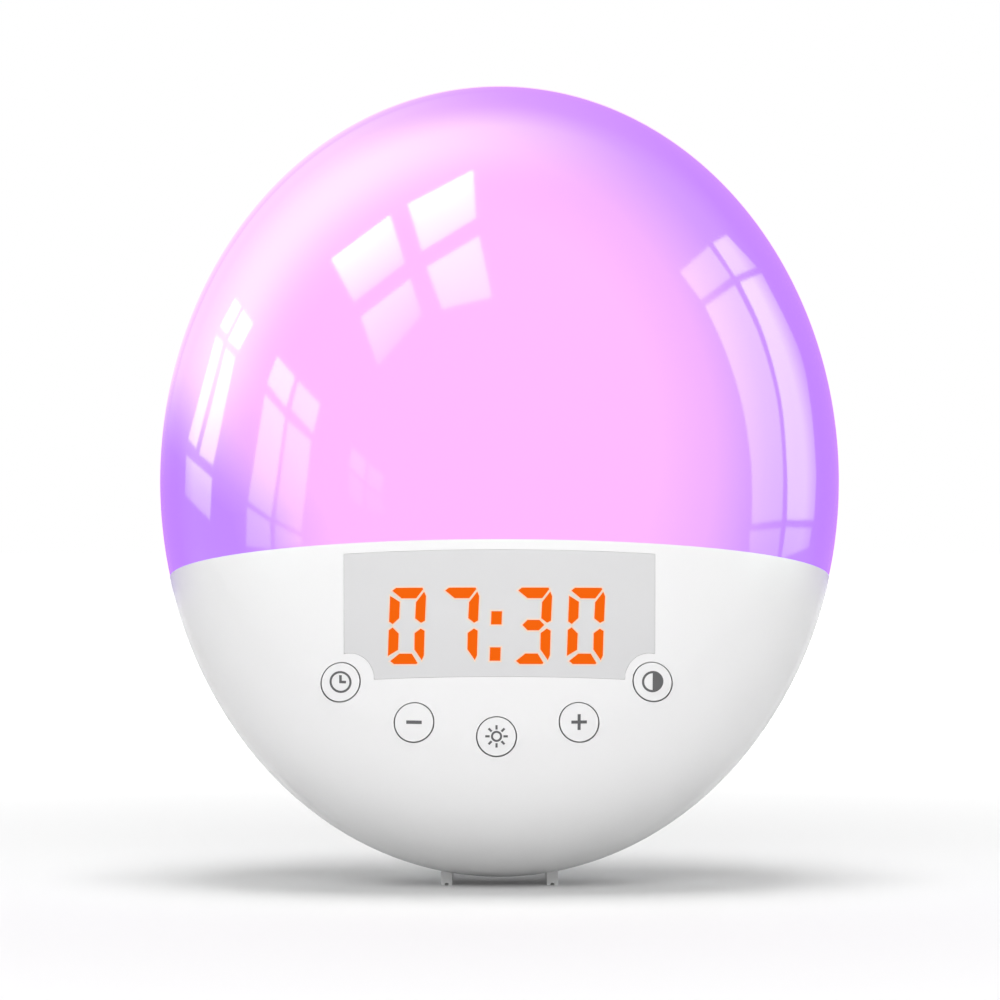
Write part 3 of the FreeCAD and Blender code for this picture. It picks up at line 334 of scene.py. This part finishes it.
def shell_values(p, depth):
    """How far outside the ellipsoid each point lies, in shares of it, and its unit normals."""
    axes = np.array([HALF_WIDTH, depth, HALF_HEIGHT])
    scaled = p / axes
    value = np.sqrt((scaled ** 2).sum(1))
    normal = scaled / axes
    normal /= np.maximum(np.linalg.norm(normal, axis=1), 1e-12)[:, None]
    return value, normal


def fine_shell(node_name, depth):
    """Copy of a CAD shell, with its round outer face cut finer and given true normals."""
    node = frame["nodes"][node_name]
    tolerance = SURFACE_SLACK / FRONT_DEPTH
    bm = bmesh.new()
    bm.from_mesh(node.data)
    bmesh.ops.remove_doubles(bm, verts=bm.verts, dist=WELD_DISTANCE)
    for _ in range(SHELL_ROUNDS):
        bm.verts.index_update()
        case = to_case([v.co for v in bm.verts])
        value, _normal = shell_values(case, depth)
        on = np.abs(value - 1) < tolerance
        long_edges = [
            e for e in bm.edges
            if on[e.verts[0].index] and on[e.verts[1].index] and e.calc_length() > SHELL_EDGE
        ]
        if not long_edges:
            break
        made = bmesh.ops.subdivide_edges(bm, edges=long_edges, cuts=1)
        fresh = [g for g in made["geom_inner"] if isinstance(g, bmesh.types.BMVert)]
        if fresh:
            p = to_case([v.co for v in fresh])
            value, _normal = shell_values(p, depth)
            for v, spot in zip(fresh, to_row(p / value[:, None])):
                v.co = spot
        bmesh.ops.triangulate(bm, faces=[f for f in bm.faces if len(f.verts) > 3])
    bm.normal_update()
    bm.verts.index_update()
    case = to_case([v.co for v in bm.verts])
    value, normal = shell_values(case, depth)
    normal = turn_to_row(normal)
    on = np.abs(value - 1) < tolerance
    for f in bm.faces:
        spots = [v.index for v in f.verts]
        mean = normal[spots].mean(0)
        f.tag = bool(on[spots].all() and float(np.dot(mean, f.normal)) > OUTWARD_FACING)
    normals = []
    for f in bm.faces:
        f.smooth = True
        for corner in f.loops:
            if f.tag:
                normals.append(tuple(normal[corner.vert.index]))
                continue
            total = Vector((0, 0, 0))
            for other in corner.vert.link_faces:
                if not other.tag and other.normal.dot(f.normal) > SMOOTH_ANGLE:
                    total += other.normal * other.calc_area()
            normals.append(tuple(total.normalized()) if total.length > 0 else tuple(f.normal))
    mesh = bpy.data.meshes.new(node_name + "_shell")
    bm.to_mesh(mesh)
    bm.free()
    mesh.normals_split_custom_set(normals)
    mesh.materials.append(MATERIALS[slot_of[node_name]])
    piece = bpy.data.objects.new(node_name + "_shell", mesh)
    bpy.context.scene.collection.objects.link(piece)
    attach(piece, "case")
    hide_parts(node_name)
    return piece


fine_shell("light_dome", FRONT_DEPTH)
fine_shell("front_panel", FRONT_DEPTH)
fine_shell("display_window", FRONT_DEPTH)
fine_shell("rear_shell", REAR_DEPTH)


def inlay(name, outlines, surface, material, body):
    """Thin piece of flat outlines in x, z, laid on the surface that place(x, z, step) gives."""
    lift, sink = surface["lift"], surface["sink"]
    bm = bmesh.new()
    for outline in outlines:
        corners = [Vector((x, 0, z)) for x, z in outline]
        verts = [bm.verts.new(c) for c in corners]
        for triangle in tessellate_polygon([corners]):
            bm.faces.new([verts[i] for i in triangle])
    for _ in range(INLAY_ROUNDS):
        long_edges = [e for e in bm.edges if e.calc_length() > INLAY_EDGE]
        if not long_edges:
            break
        bmesh.ops.subdivide_edges(bm, edges=long_edges, cuts=1)
        bmesh.ops.triangulate(bm, faces=[f for f in bm.faces if len(f.verts) > 3])
    for f in bm.faces:
        f.normal_update()
        if f.normal.y > 0:
            f.normal_flip()
    upper = list(bm.faces)
    copied = bmesh.ops.duplicate(bm, geom=bm.verts[:] + bm.edges[:] + upper)
    lower = copied["vert_map"]
    low_faces = [g for g in copied["geom"] if isinstance(g, bmesh.types.BMFace)]
    low_verts = {g for g in copied["geom"] if isinstance(g, bmesh.types.BMVert)}
    for f in low_faces:
        f.normal_flip()
    rim = [e for e in bm.edges if len(e.link_faces) == 1 and e.verts[0] not in low_verts]
    pairs = {k: lower[k] for k in bm.verts if k not in low_verts}
    for e in rim:
        loop = e.link_loops[0]
        a, b = loop.vert, loop.link_loop_next.vert
        bm.faces.new([b, a, pairs[a], pairs[b]])
    for v in bm.verts:
        step = -sink if v in low_verts else lift
        spot = surface["place"](v.co.x, v.co.z, step)
        v.co = Vector(to_row([spot])[0])
    bm.normal_update()
    mesh = bpy.data.meshes.new(name)
    bm.to_mesh(mesh)
    bm.free()
    mesh.materials.append(material)
    piece = bpy.data.objects.new(name, mesh)
    bpy.context.scene.collection.objects.link(piece)
    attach(piece, body)
    return piece


def on_front(grow):
    return lambda x, z, step: (x, front_y(x, z, grow + step), z)


def on_back(level):
    return lambda x, z, step: (x, level + step, z)


def ring(outer, stroke, count=48):
    """Ring about 0, 0 as a row of four-sided outlines."""
    outlines = []
    for i in range(count):
        a, b = (2 * math.pi * k / count for k in (i, i + 1))
        outlines.append([
            (r * math.cos(t), r * math.sin(t))
            for r, t in ((outer, a), (outer, b), (outer - stroke, b), (outer - stroke, a))
        ])
    return outlines


def stroke_bar(x0, z0, x1, z1, thick):
    """Straight stroke between two points."""
    length = math.hypot(x1 - x0, z1 - z0)
    ax, az = (z0 - z1) / length * thick / 2, (x1 - x0) / length * thick / 2
    return [(x0 + ax, z0 + az), (x1 + ax, z1 + az), (x1 - ax, z1 - az), (x0 - ax, z0 - az)]


# corners of each bar in units of the figure, across from its middle line and up from its foot
BARS = {
    "top": [(-15.2, 71.0), (-12.0, 73.4), (14.2, 73.4), (14.8, 72.4), (8.4, 63.9), (-6.0, 63.9)],
    "middle": [(-9.8, 37.4), (-5.2, 41.8), (6.5, 41.8), (11.1, 37.4), (6.2, 32.6), (-4.8, 32.6)],
    "bottom": [(-14.8, 2.5), (-6.2, 9.2), (5.9, 9.2), (11.7, 0.7), (10.9, 0.0), (-11.4, 0.0)],
    "upper_left": [(-17.5, 65.4), (-8.2, 59.8), (-8.2, 44.4), (-14.2, 38.9), (-17.5, 41.1)],
    "upper_right": [
        (16.3, 69.4), (18.0, 65.4), (17.8, 41.9), (14.4, 40.0), (8.7, 44.1), (9.0, 59.5),
    ],
    "lower_left": [(-17.5, 32.3), (-14.2, 34.5), (-8.2, 29.0), (-8.2, 13.6), (-17.6, 8.0)],
    "lower_right": [(14.4, 33.4), (17.8, 31.5), (18.0, 8.0), (16.3, 4.0), (9.0, 13.9), (8.7, 29.3)],
}
RIGHT_SIDE = ["upper_right", "lower_right"]
ZERO = ["top", "bottom", "upper_left", "lower_left"] + RIGHT_SIDE
SHOWN = [ZERO, ["top"] + RIGHT_SIDE, ["top", "middle", "bottom"] + RIGHT_SIDE, ZERO]


def leaned(x, rise):
    """Point of a figure, slanted, and levelled against the tilt that the case's curve gives."""
    x += rise * math.tan(FIGURE_SLANT)
    z = FIGURE_BOTTOM_Z + rise
    level = FIGURE_LEVEL * math.tan(LEAN) * (front_y(x, z) - front_y(0.0, z))
    return (x, z + level - FIGURE_DROP)


def grown(outline, by):
    """Outline moved outwards by a step, its corners kept sharp but not long."""
    count = len(outline)
    following = outline[1:] + outline[:1]
    area = sum(x0 * z1 - x1 * z0 for (x0, z0), (x1, z1) in zip(outline, following))
    way = 1 if area > 0 else -1
    made = []
    for i in range(count):
        (x0, z0), (x1, z1), (x2, z2) = outline[i - 1], outline[i], outline[(i + 1) % count]
        a = Vector((z1 - z0, x0 - x1)).normalized() * way
        b = Vector((z2 - z1, x1 - x2)).normalized() * way
        middle = (a + b).normalized()
        reach = min(by / max(middle.dot(a), 0.5), 1.5 * by)
        made.append((x1 + middle.x * reach, z1 + middle.y * reach))
    return made


figure_lines = []
second = FIGURE_X + FIGURE_PITCH
third = second + COLON_PITCH
for middle, bars in zip((FIGURE_X, second, third, third + FIGURE_PITCH), SHOWN):
    for bar in bars:
        corners = [(middle + a * FIGURE_UNIT, d * FIGURE_UNIT) for a, d in BARS[bar]]
        figure_lines.append([leaned(x, rise) for x, rise in corners])
for rise in COLON_RISES:
    middle = second + COLON_PITCH / 2
    figure_lines.append([
        leaned(middle + i * COLON_HALF_WIDTH, rise + j * COLON_HALF_HEIGHT)
        for i, j in ((-1, -1), (1, -1), (1, 1), (-1, 1))
    ])
halo_lines = [grown(line, HALO_GROW) for line in figure_lines]
figure_lines = [grown(line, BAR_GROW) for line in figure_lines]
inlay("figure_halo", halo_lines, {"place": on_front(0), "lift": HALO_LIFT, "sink": SINK},
      halo_light, "case")
inlay("lit_figures", figure_lines, {"place": on_front(0), "lift": FIGURE_LIFT, "sink": SINK},
      figure_light, "case")


# middles of the front keys
ROW_SHIFT = -0.00068
KEYS = {
    "time": (ROW_SHIFT - 0.0362, -0.0566),
    "minus": (ROW_SHIFT - 0.0191, -0.06615),
    "light": (ROW_SHIFT, -0.0695),
    "plus": (ROW_SHIFT + 0.0191, -0.06615),
    "contrast": (ROW_SHIFT + 0.0362, -0.0566),
}
# marks on the keys, drawn about 0, 0 in units of MARK_UNIT and with strokes in units of PEN
KEY_SQUASH = 0.925
MARK_UNIT = 0.001 / 4.33
PEN = 1.15 * MARK_UNIT
HALF_LINE = 7.8 * MARK_UNIT


def time_mark():
    marks = ring(11.2 * MARK_UNIT, 1.9 * PEN)
    marks.append(stroke_bar(0.0, -1.1 * PEN, 0.0, 7.0 * MARK_UNIT, 2.3 * PEN))
    marks.append(stroke_bar(1.0 * MARK_UNIT, 0.0, 5.6 * MARK_UNIT, 0.0, 2.3 * PEN))
    return marks


def minus_mark():
    return [stroke_bar(-HALF_LINE, 0.0, HALF_LINE, 0.0, 3.0 * PEN)]


def light_mark():
    marks = ring(5.6 * MARK_UNIT, 1.8 * PEN, 32)
    near, far = 6.9 * MARK_UNIT, 11.3 * MARK_UNIT
    for i in range(8):
        c, s = math.cos(i * math.pi / 4), math.sin(i * math.pi / 4)
        marks.append(stroke_bar(near * c, near * s, far * c, far * s, 1.9 * PEN))
    return marks


def plus_mark():
    thick = 2.7 * PEN
    marks = [stroke_bar(-HALF_LINE, 0.0, HALF_LINE, 0.0, thick)]
    for side in (-1, 1):
        marks.append(stroke_bar(0.0, side * thick / 2, 0.0, side * 8.0 * MARK_UNIT, thick))
    return marks


def contrast_mark():
    marks = ring(10.9 * MARK_UNIT, 2.0 * PEN)
    radius = 9.0 * MARK_UNIT
    half_turn = [math.pi * (k / 24 - 0.5) for k in range(25)]
    marks.append([(radius * math.cos(t), radius * math.sin(t)) for t in half_turn])
    return marks


def level_point(x, z, u, v):
    """Point of a mark about its key's middle, drawn so that it looks level and unstretched."""
    level = math.tan(LEAN) * (front_y(x + u, z) - front_y(x, z))
    return (x + u, z + v * KEY_SQUASH + level)


FRONT_MARKS = {
    "time": time_mark, "minus": minus_mark, "light": light_mark,
    "plus": plus_mark, "contrast": contrast_mark,
}
for key, draw in FRONT_MARKS.items():
    spot = {"place": on_front(KEY_PROUD), "lift": MARK_LIFT, "sink": SINK}
    lines = [[level_point(*KEYS[key], u, v) for u, v in line] for line in draw()]
    inlay("mark_" + key, lines, spot, mark_ink, "key_" + key)

# rear keys and their marks
REAR_KEY_PITCH = 0.017
REAR_KEY_Z = 0.015


def seen_from_behind(x, shapes):
    """Outlines about a rear key at x, mirrored so that they read right from behind."""
    return [[(x - u, REAR_KEY_Z + v) for u, v in shape] for shape in shapes]


MM = 0.001
ONE = [
    [(-0.3 * MM, -1.7 * MM), (0.3 * MM, -1.7 * MM), (0.3 * MM, 1.7 * MM), (-0.3 * MM, 1.7 * MM)],
    [(-0.3 * MM, 1.7 * MM), (-1.1 * MM, 1.0 * MM), (-1.1 * MM, 0.45 * MM), (-0.3 * MM, 1.1 * MM)],
]
TWO = [
    stroke_bar(-1.0 * MM, 1.4 * MM, 1.1 * MM, 1.4 * MM, 0.6 * MM),
    stroke_bar(0.8 * MM, 1.1 * MM, 0.8 * MM, 0.3 * MM, 0.6 * MM),
    stroke_bar(-1.0 * MM, 0.0, 1.1 * MM, 0.0, 0.6 * MM),
    stroke_bar(-0.7 * MM, -0.3 * MM, -0.7 * MM, -1.1 * MM, 0.6 * MM),
    stroke_bar(-1.0 * MM, -1.4 * MM, 1.1 * MM, -1.4 * MM, 0.6 * MM),
]
NOTE_HEAD = [(-0.55 * MM + 0.85 * MM * math.cos(t), -1.2 * MM + 0.62 * MM * math.sin(t))
             for t in (2 * math.pi * k / 20 for k in range(20))]
NOTE = [
    NOTE_HEAD,
    [(0.05 * MM, -1.0 * MM), (0.45 * MM, -1.0 * MM), (0.45 * MM, 1.9 * MM), (0.05 * MM, 1.9 * MM)],
    [(0.45 * MM, 1.9 * MM), (0.45 * MM, 1.2 * MM), (1.4 * MM, 0.5 * MM), (1.4 * MM, 1.1 * MM)],
]
REAR_MARKS = {
    "alarm_one": (REAR_KEY_PITCH, ONE), "alarm_two": (0.0, TWO), "sound": (-REAR_KEY_PITCH, NOTE),
}
for key, (x, shapes) in REAR_MARKS.items():
    spot = {"place": on_back(REAR_FLAT_Y + KEY_PROUD), "lift": MARK_LIFT, "sink": SINK}
    inlay("mark_" + key, seen_from_behind(x, shapes), spot, mark_ink, "key_" + key)


camera_data = bpy.data.cameras.new("camera")
camera_data.lens = LENS
camera_data.sensor_width = SENSOR
camera = bpy.data.objects.new("camera", camera_data)
camera_place = np.array([CAMERA_X, CASE_ORIGIN[1] - CAMERA_DISTANCE, CASE_ORIGIN[2] - CAMERA_DROP])
camera.location = camera_place
camera.rotation_euler = (math.pi / 2, 0, 0)
bpy.context.scene.collection.objects.link(camera)
bpy.context.scene.camera = camera


def emitter(name, colour):
    """Clear material that shines in a colour, as strongly as its glow attribute says."""
    mat = bpy.data.materials.new(name)
    tree, surface = empty_tree(mat)
    glow = add(tree, "ShaderNodeEmission")
    glow.inputs["Color"].default_value = (*colour, 1)
    level = add(tree, "ShaderNodeAttribute", attribute_name="glow")
    tree.links.new(level.outputs["Fac"], glow.inputs["Strength"])
    clear = add(tree, "ShaderNodeBsdfTransparent")
    both = add(tree, "ShaderNodeAddShader")
    tree.links.new(glow.outputs[0], both.inputs[0])
    tree.links.new(clear.outputs[0], both.inputs[1])
    tree.links.new(both.outputs[0], surface)
    return mat


def veil(name, colour):
    """Material that hides what is behind it by its glow attribute, and shows its colour there."""
    mat = bpy.data.materials.new(name)
    tree, surface = empty_tree(mat)
    glow = add(tree, "ShaderNodeEmission")
    glow.inputs["Color"].default_value = (*colour, 1)
    level = add(tree, "ShaderNodeAttribute", attribute_name="glow")
    clear = add(tree, "ShaderNodeBsdfTransparent")
    both = add(tree, "ShaderNodeMixShader")
    tree.links.new(level.outputs["Fac"], both.inputs["Fac"])
    tree.links.new(clear.outputs[0], both.inputs[1])
    tree.links.new(glow.outputs[0], both.inputs[2])
    tree.links.new(both.outputs[0], surface)
    return mat


def mirrored_ray(u, v, distance):
    """Where the studio shows in the case's front at a point of the picture, and how strongly."""
    scale = LENS / SENSOR * PICTURE
    ray = np.array([(u - PICTURE / 2) / scale, 1.0, (PICTURE / 2 - v) / scale])
    ray /= np.linalg.norm(ray)
    start = to_case([camera_place])[0]
    way = to_case([CASE_ORIGIN + ray])[0]
    axes = halves()
    a = ((way / axes) ** 2).sum()
    b = 2 * (start * way / axes ** 2).sum()
    c = ((start / axes) ** 2).sum() - 1
    depth = max(b * b - 4 * a * c, 0.0)
    hit = start + way * (-b - math.sqrt(depth)) / (2 * a)
    normal = hit / axes ** 2
    normal /= np.linalg.norm(normal)
    facing = float(-(way @ normal))
    back = way + 2 * facing * normal
    inner = math.sqrt(DOME_IOR ** 2 - 1 + facing ** 2)
    straight = (inner - facing) / (inner + facing)
    crossed = (facing * (inner + facing) - 1) / (facing * (inner - facing) + 1)
    gloss = 0.5 * straight ** 2 * (1 + crossed ** 2)
    return to_row([hit + back * distance])[0], gloss


def pane(name, rows, levels, material, as_share=False, distance=PANE_DISTANCE):
    """Card whose mirror image fills a grid of points of the picture.

    The levels are what it adds to the picture there, or its shares of the mirror image.
    """
    found = [mirrored_ray(u, v, distance) for row in rows for u, v in row]
    wide = len(rows[0])
    faces = [
        (r * wide + c, r * wide + c + 1, (r + 1) * wide + c + 1, (r + 1) * wide + c)
        for r in range(len(rows) - 1) for c in range(wide - 1)
    ]
    mesh = bpy.data.meshes.new(name)
    mesh.from_pydata([tuple(place) for place, _gloss in found], [], faces)
    added = np.array(levels, float).ravel()
    if not as_share:
        added = added / np.array([gloss for _place, gloss in found])
    glow = mesh.attributes.new("glow", "FLOAT", "POINT")
    glow.data.foreach_set("value", added.astype(np.float32))
    mesh.materials.append(material)
    card = bpy.data.objects.new(name, mesh)
    bpy.context.scene.collection.objects.link(card)
    card.visible_camera = False
    card.visible_diffuse = False
    card.visible_transmission = False
    card.visible_volume_scatter = False
    card.visible_shadow = False
    return card


def between(a, b, t):
    return (a[0] + (b[0] - a[0]) * t, a[1] + (b[1] - a[1]) * t)


window_light = emitter("window_light", (0.82, 1.0, 0.92))
# reflected panes: corners in the picture, then what they add at the top and at the bottom
PANES = {
    "main_a": (((331, 259), (390, 215), (405, 263), (354, 302)), 0.62, 0.16),
    "main_b": (((408, 204), (473, 170), (476, 218), (422, 251)), 0.62, 0.28),
    "main_c": (((361, 317), (410, 279), (422, 315), (378, 366)), 0.30, 0.08),
    "main_d": (((427, 267), (479, 236), (492, 297), (442, 309)), 0.36, 0.20),
    "edge_a": (((220, 326), (235, 298), (241, 307), (227, 334)), 0.42, 0.42),
    "edge_b": (((228, 340), (243, 310), (253, 324), (239, 350)), 0.45, 0.45),
    "edge_c": (((216, 335), (223, 343), (196, 448), (188, 439)), 0.34, 0.42),
    "edge_d": (((226, 348), (235, 358), (213, 465), (199, 454)), 0.40, 0.36),
    "edge_e": (((186, 455), (212, 478), (210, 520), (185, 495)), 0.35, 0.18),
    "left_a": (((277, 356), (295, 377), (286, 407), (267, 383)), 0.36, 0.30),
    "left_b": (((298, 381), (320, 404), (313, 433), (291, 409)), 0.28, 0.22),
    "left_c": (((265, 394), (285, 417), (271, 518), (248, 501)), 0.28, 0.16),
    "left_d": (((288, 421), (311, 441), (301, 532), (275, 519)), 0.21, 0.09),
    "left_e": (((247, 507), (270, 522), (271, 549), (246, 546)), 0.17, 0.12),
    "left_f": (((275, 524), (302, 538), (301, 545), (275, 549)), 0.11, 0.07),
    "faint_a": (((352, 447), (366, 461), (364, 480), (349, 466)), 0.10, 0.08),
    "faint_b": (((369, 464), (384, 476), (381, 493), (367, 483)), 0.07, 0.05),
    "faint_c": (((349, 470), (363, 484), (362, 508), (349, 497)), 0.05, 0.03),
    "faint_d": (((366, 487), (381, 497), (386, 515), (367, 510)), 0.03, 0.02),
    "right_a": (((680, 272), (709, 246), (731, 277), (701, 300)), 0.22, 0.20),
    "right_b": (((713, 243), (727, 235), (757, 267), (735, 276)), 0.36, 0.32),
}
# long ones: points down the left side, points down the right side, then the same two values
LONG_PANES = {
    "right_c": (((705, 306), (724, 347), (741, 400), (751, 462), (752, 524)),
                ((735, 285), (759, 335), (777, 400), (783, 469), (782, 520)), 0.26, 0.17),
    "right_d": (((740, 282), (764, 335), (781, 400), (787, 469), (787, 520)),
                ((762, 273), (798, 347), (810, 400), (816, 469), (814, 520)), 0.42, 0.30),
    "right_e": (((750, 531), (749, 553), (746, 592)),
                ((781, 528), (777, 560), (770, 592)), 0.14, 0.06),
    "right_f": (((786, 527), (781, 561), (776, 592)),
                ((812, 528), (805, 568), (796, 592)), 0.22, 0.10),
}


def straight_sides(corners):
    """Left and right side of a pane given by its corners, clockwise from the top left."""
    top_left, top_right, bottom_right, bottom_left = corners
    return (top_left, bottom_left), (top_right, bottom_right)


def along(points, t):
    """Point of a smooth curve through the points, t from 0 to 1."""
    place = t * (len(points) - 1)
    i = min(int(place), len(points) - 2)
    f = place - i
    p = [points[max(min(i + k, len(points) - 1), 0)] for k in (-1, 0, 1, 2)]
    return tuple(
        0.5 * (2 * p[1][n] + (p[2][n] - p[0][n]) * f
               + (2 * p[0][n] - 5 * p[1][n] + 4 * p[2][n] - p[3][n]) * f ** 2
               + (3 * p[1][n] - p[0][n] - 3 * p[2][n] + p[3][n]) * f ** 3)
        for n in (0, 1)
    )


def long_pane(name, left, right, material, top, bottom, steps=24, wide=6):
    """Pane between two curved sides, fading from its top level to its bottom level."""
    rows, levels = [], []
    for i in range(steps + 1):
        t = i / steps
        rows.append([between(along(left, t), along(right, t), j / wide) for j in range(wide + 1)])
        levels.append([top + (bottom - top) * t] * (wide + 1))
    return pane(name, rows, levels, material)


for name, (corners, top, bottom) in PANES.items():
    long_pane("pane_" + name, *straight_sides(corners), window_light, top, bottom)
for name, (left, right, top, bottom) in LONG_PANES.items():
    long_pane("pane_" + name, left, right, window_light, top, bottom)

# outline of the case in the picture
RIM_MIDDLE = (499.5, 481.5)
RIM_HALVES = (340.0, 395.5)


def rim_pane(name, reaches, turns, level, material, steps=36, wide=12, **kinds):
    """Card seen along the rim of the case; level(reach share, turn share) is what it adds there."""
    rows, levels = [], []
    for i in range(steps + 1):
        t = i / steps
        turn = math.radians(turns[0] + (turns[1] - turns[0]) * t)
        row, brightness = [], []
        for j in range(wide + 1):
            share = j / wide
            reach = reaches[0] + (reaches[1] - reaches[0]) * share
            row.append((RIM_MIDDLE[0] + reach * RIM_HALVES[0] * math.cos(turn),
                        RIM_MIDDLE[1] - reach * RIM_HALVES[1] * math.sin(turn)))
            brightness.append(level(reach, t))
        rows.append(row)
        levels.append(brightness)
    return pane(name, rows, levels, material, **kinds)


def faded(t, start, end):
    """Rises from 0 to 1 over the start of a sweep and falls back over its end."""
    rise = min(t / start, 1.0) if start else 1.0
    fall = min((1 - t) / end, 1.0) if end else 1.0
    return (3 - 2 * rise) * rise ** 2 * (3 - 2 * fall) * fall ** 2


# a soft bow of light along the upper left of the rim
BOW_RANGE = (0.70, 0.985)
BOW_TURNS = (182.0, 58.0)
BOW_PEAK = 0.33
BOW_REACH = 0.885
BOW_SPREAD = 0.066
BOW_FADES = (0.2, 0.5)


def bow_level(reach, t):
    across = (reach - BOW_REACH) / BOW_SPREAD
    return BOW_PEAK * math.exp(-0.5 * across ** 2) * faded(t, *BOW_FADES)


rim_pane("pane_bow", BOW_RANGE, BOW_TURNS, bow_level, window_light)

# purple cards that keep the white room out of the rim on the right and low on the left
CARD_INNER = 0.90
CARD_FULL = 0.95
CARD_RANGE = (CARD_INNER, 0.998)
CARD_COVER = 0.9
CARD_DISTANCE = 0.3
CARDS = {
    "card_right": ((-17.5, 125.0), (0.02, 0.3)),
    "card_left": ((160.0, 198.0), (0.6, 0.05)),
}
purple_card = veil("purple_card", (0.35, 0.12, 0.95))


def card_share(start, end):
    """Cover of a card: full at the rim, gone at its inner edge, faded over its start and end."""
    def share(reach, t):
        outwards = min(max((reach - CARD_INNER) / (CARD_FULL - CARD_INNER), 0.0), 1.0)
        return CARD_COVER * outwards * faded(t, start, end)
    return share


for name, (turns, fades) in CARDS.items():
    rim_pane(name, CARD_RANGE, turns, card_share(*fades), purple_card,
             as_share=True, distance=CARD_DISTANCE)


def area_light(name, place, size, power):
    """Soft lamp that points at the clock's middle and isn't seen itself."""
    data = bpy.data.lights.new(name, "AREA")
    data.shape = "RECTANGLE"
    data.size, data.size_y = size
    data.energy = power
    lamp = bpy.data.objects.new(name, data)
    lamp.location = place
    lamp.rotation_euler = (Vector(MIDDLE) - Vector(place)).to_track_quat("-Z", "Y").to_euler()
    bpy.context.scene.collection.objects.link(lamp)
    lamp.visible_glossy = False
    lamp.visible_camera = False
    return lamp


key_light = area_light("key_light", KEY_PLACE, KEY_SIZE, KEY_POWER)
area_light("key_spill", KEY_PLACE, KEY_SIZE, SPILL_POWER)
area_light("top_light", TOP_PLACE, TOP_SIZE, TOP_POWER)
area_light("back_light", BACK_PLACE, BACK_SIZE, BACK_POWER)


def seen_rays(tree):
    """1 for rays that show the surroundings: straight to the camera, mirrored or through."""
    rays = add(tree, "ShaderNodeLightPath")
    seen = maths(tree, "MAXIMUM", rays.outputs["Is Camera Ray"], rays.outputs["Is Glossy Ray"])
    return maths(tree, "MAXIMUM", seen, rays.outputs["Is Transmission Ray"])


# world: dim as a light, white where it is seen
world = bpy.data.worlds.new("studio")
bpy.context.scene.world = world
tree, surface = empty_tree(world)
room = add(tree, "ShaderNodeBackground")
room.inputs["Color"].default_value = (1, 1, 1, 1)
room.inputs["Strength"].default_value = AMBIENT
backdrop = add(tree, "ShaderNodeBackground")
backdrop.inputs["Color"].default_value = (1, 1, 1, 1)
backdrop.inputs["Strength"].default_value = 1.0
pick = add(tree, "ShaderNodeMixShader")
tree.links.new(seen_rays(tree), pick.inputs["Fac"])
tree.links.new(room.outputs[0], pick.inputs[1])
tree.links.new(backdrop.outputs[0], pick.inputs[2])
tree.links.new(pick.outputs[0], surface)

floor_mesh = bpy.data.meshes.new("floor")
floor_mesh.from_pydata(
    [(-FLOOR_HALF, -FLOOR_HALF, 0), (FLOOR_HALF, -FLOOR_HALF, 0),
     (FLOOR_HALF, FLOOR_HALF, 0), (-FLOOR_HALF, FLOOR_HALF, 0)], [], [(0, 1, 2, 3)])
floor = bpy.data.objects.new("floor", floor_mesh)
bpy.context.scene.collection.objects.link(floor)

# most of the key light is kept off the floor, as a studio's flags do
flagged = bpy.data.collections.new("kept_off_the_floor")
flagged.objects.link(floor)
key_light.light_linking.receiver_collection = flagged
flagged.collection_objects[0].light_linking.link_state = "EXCLUDE"
floor_mat = bpy.data.materials.new("floor_paper")
tree, surface = empty_tree(floor_mat)
paper = add(tree, "ShaderNodeBsdfDiffuse")
paper.inputs["Color"].default_value = (*FLOOR_COLOUR, 1)
lift = add(tree, "ShaderNodeEmission")
lift.inputs["Color"].default_value = (1, 1, 1, 1)
coords = add(tree, "ShaderNodeTexCoord")
length = add(tree, "ShaderNodeVectorMath", operation="LENGTH")
tree.links.new(coords.outputs["Object"], length.inputs[0])
spread = add(tree, "ShaderNodeMapRange", interpolation_type="SMOOTHSTEP")
spread.inputs["From Min"].default_value = FLOOR_NEAR
spread.inputs["From Max"].default_value = FLOOR_FAR
spread.inputs["To Min"].default_value = FLOOR_LIFT_NEAR
spread.inputs["To Max"].default_value = FLOOR_LIFT_FAR
tree.links.new(length.outputs["Value"], spread.inputs["Value"])
shown = maths(tree, "MULTIPLY", seen_rays(tree), spread.outputs["Result"])
tree.links.new(shown, lift.inputs["Strength"])
both = add(tree, "ShaderNodeAddShader")
tree.links.new(paper.outputs[0], both.inputs[0])
tree.links.new(lift.outputs[0], both.inputs[1])
tree.links.new(both.outputs[0], surface)
floor_mesh.materials.append(floor_mat)

bpy.context.scene.view_settings.view_transform = "Standard"
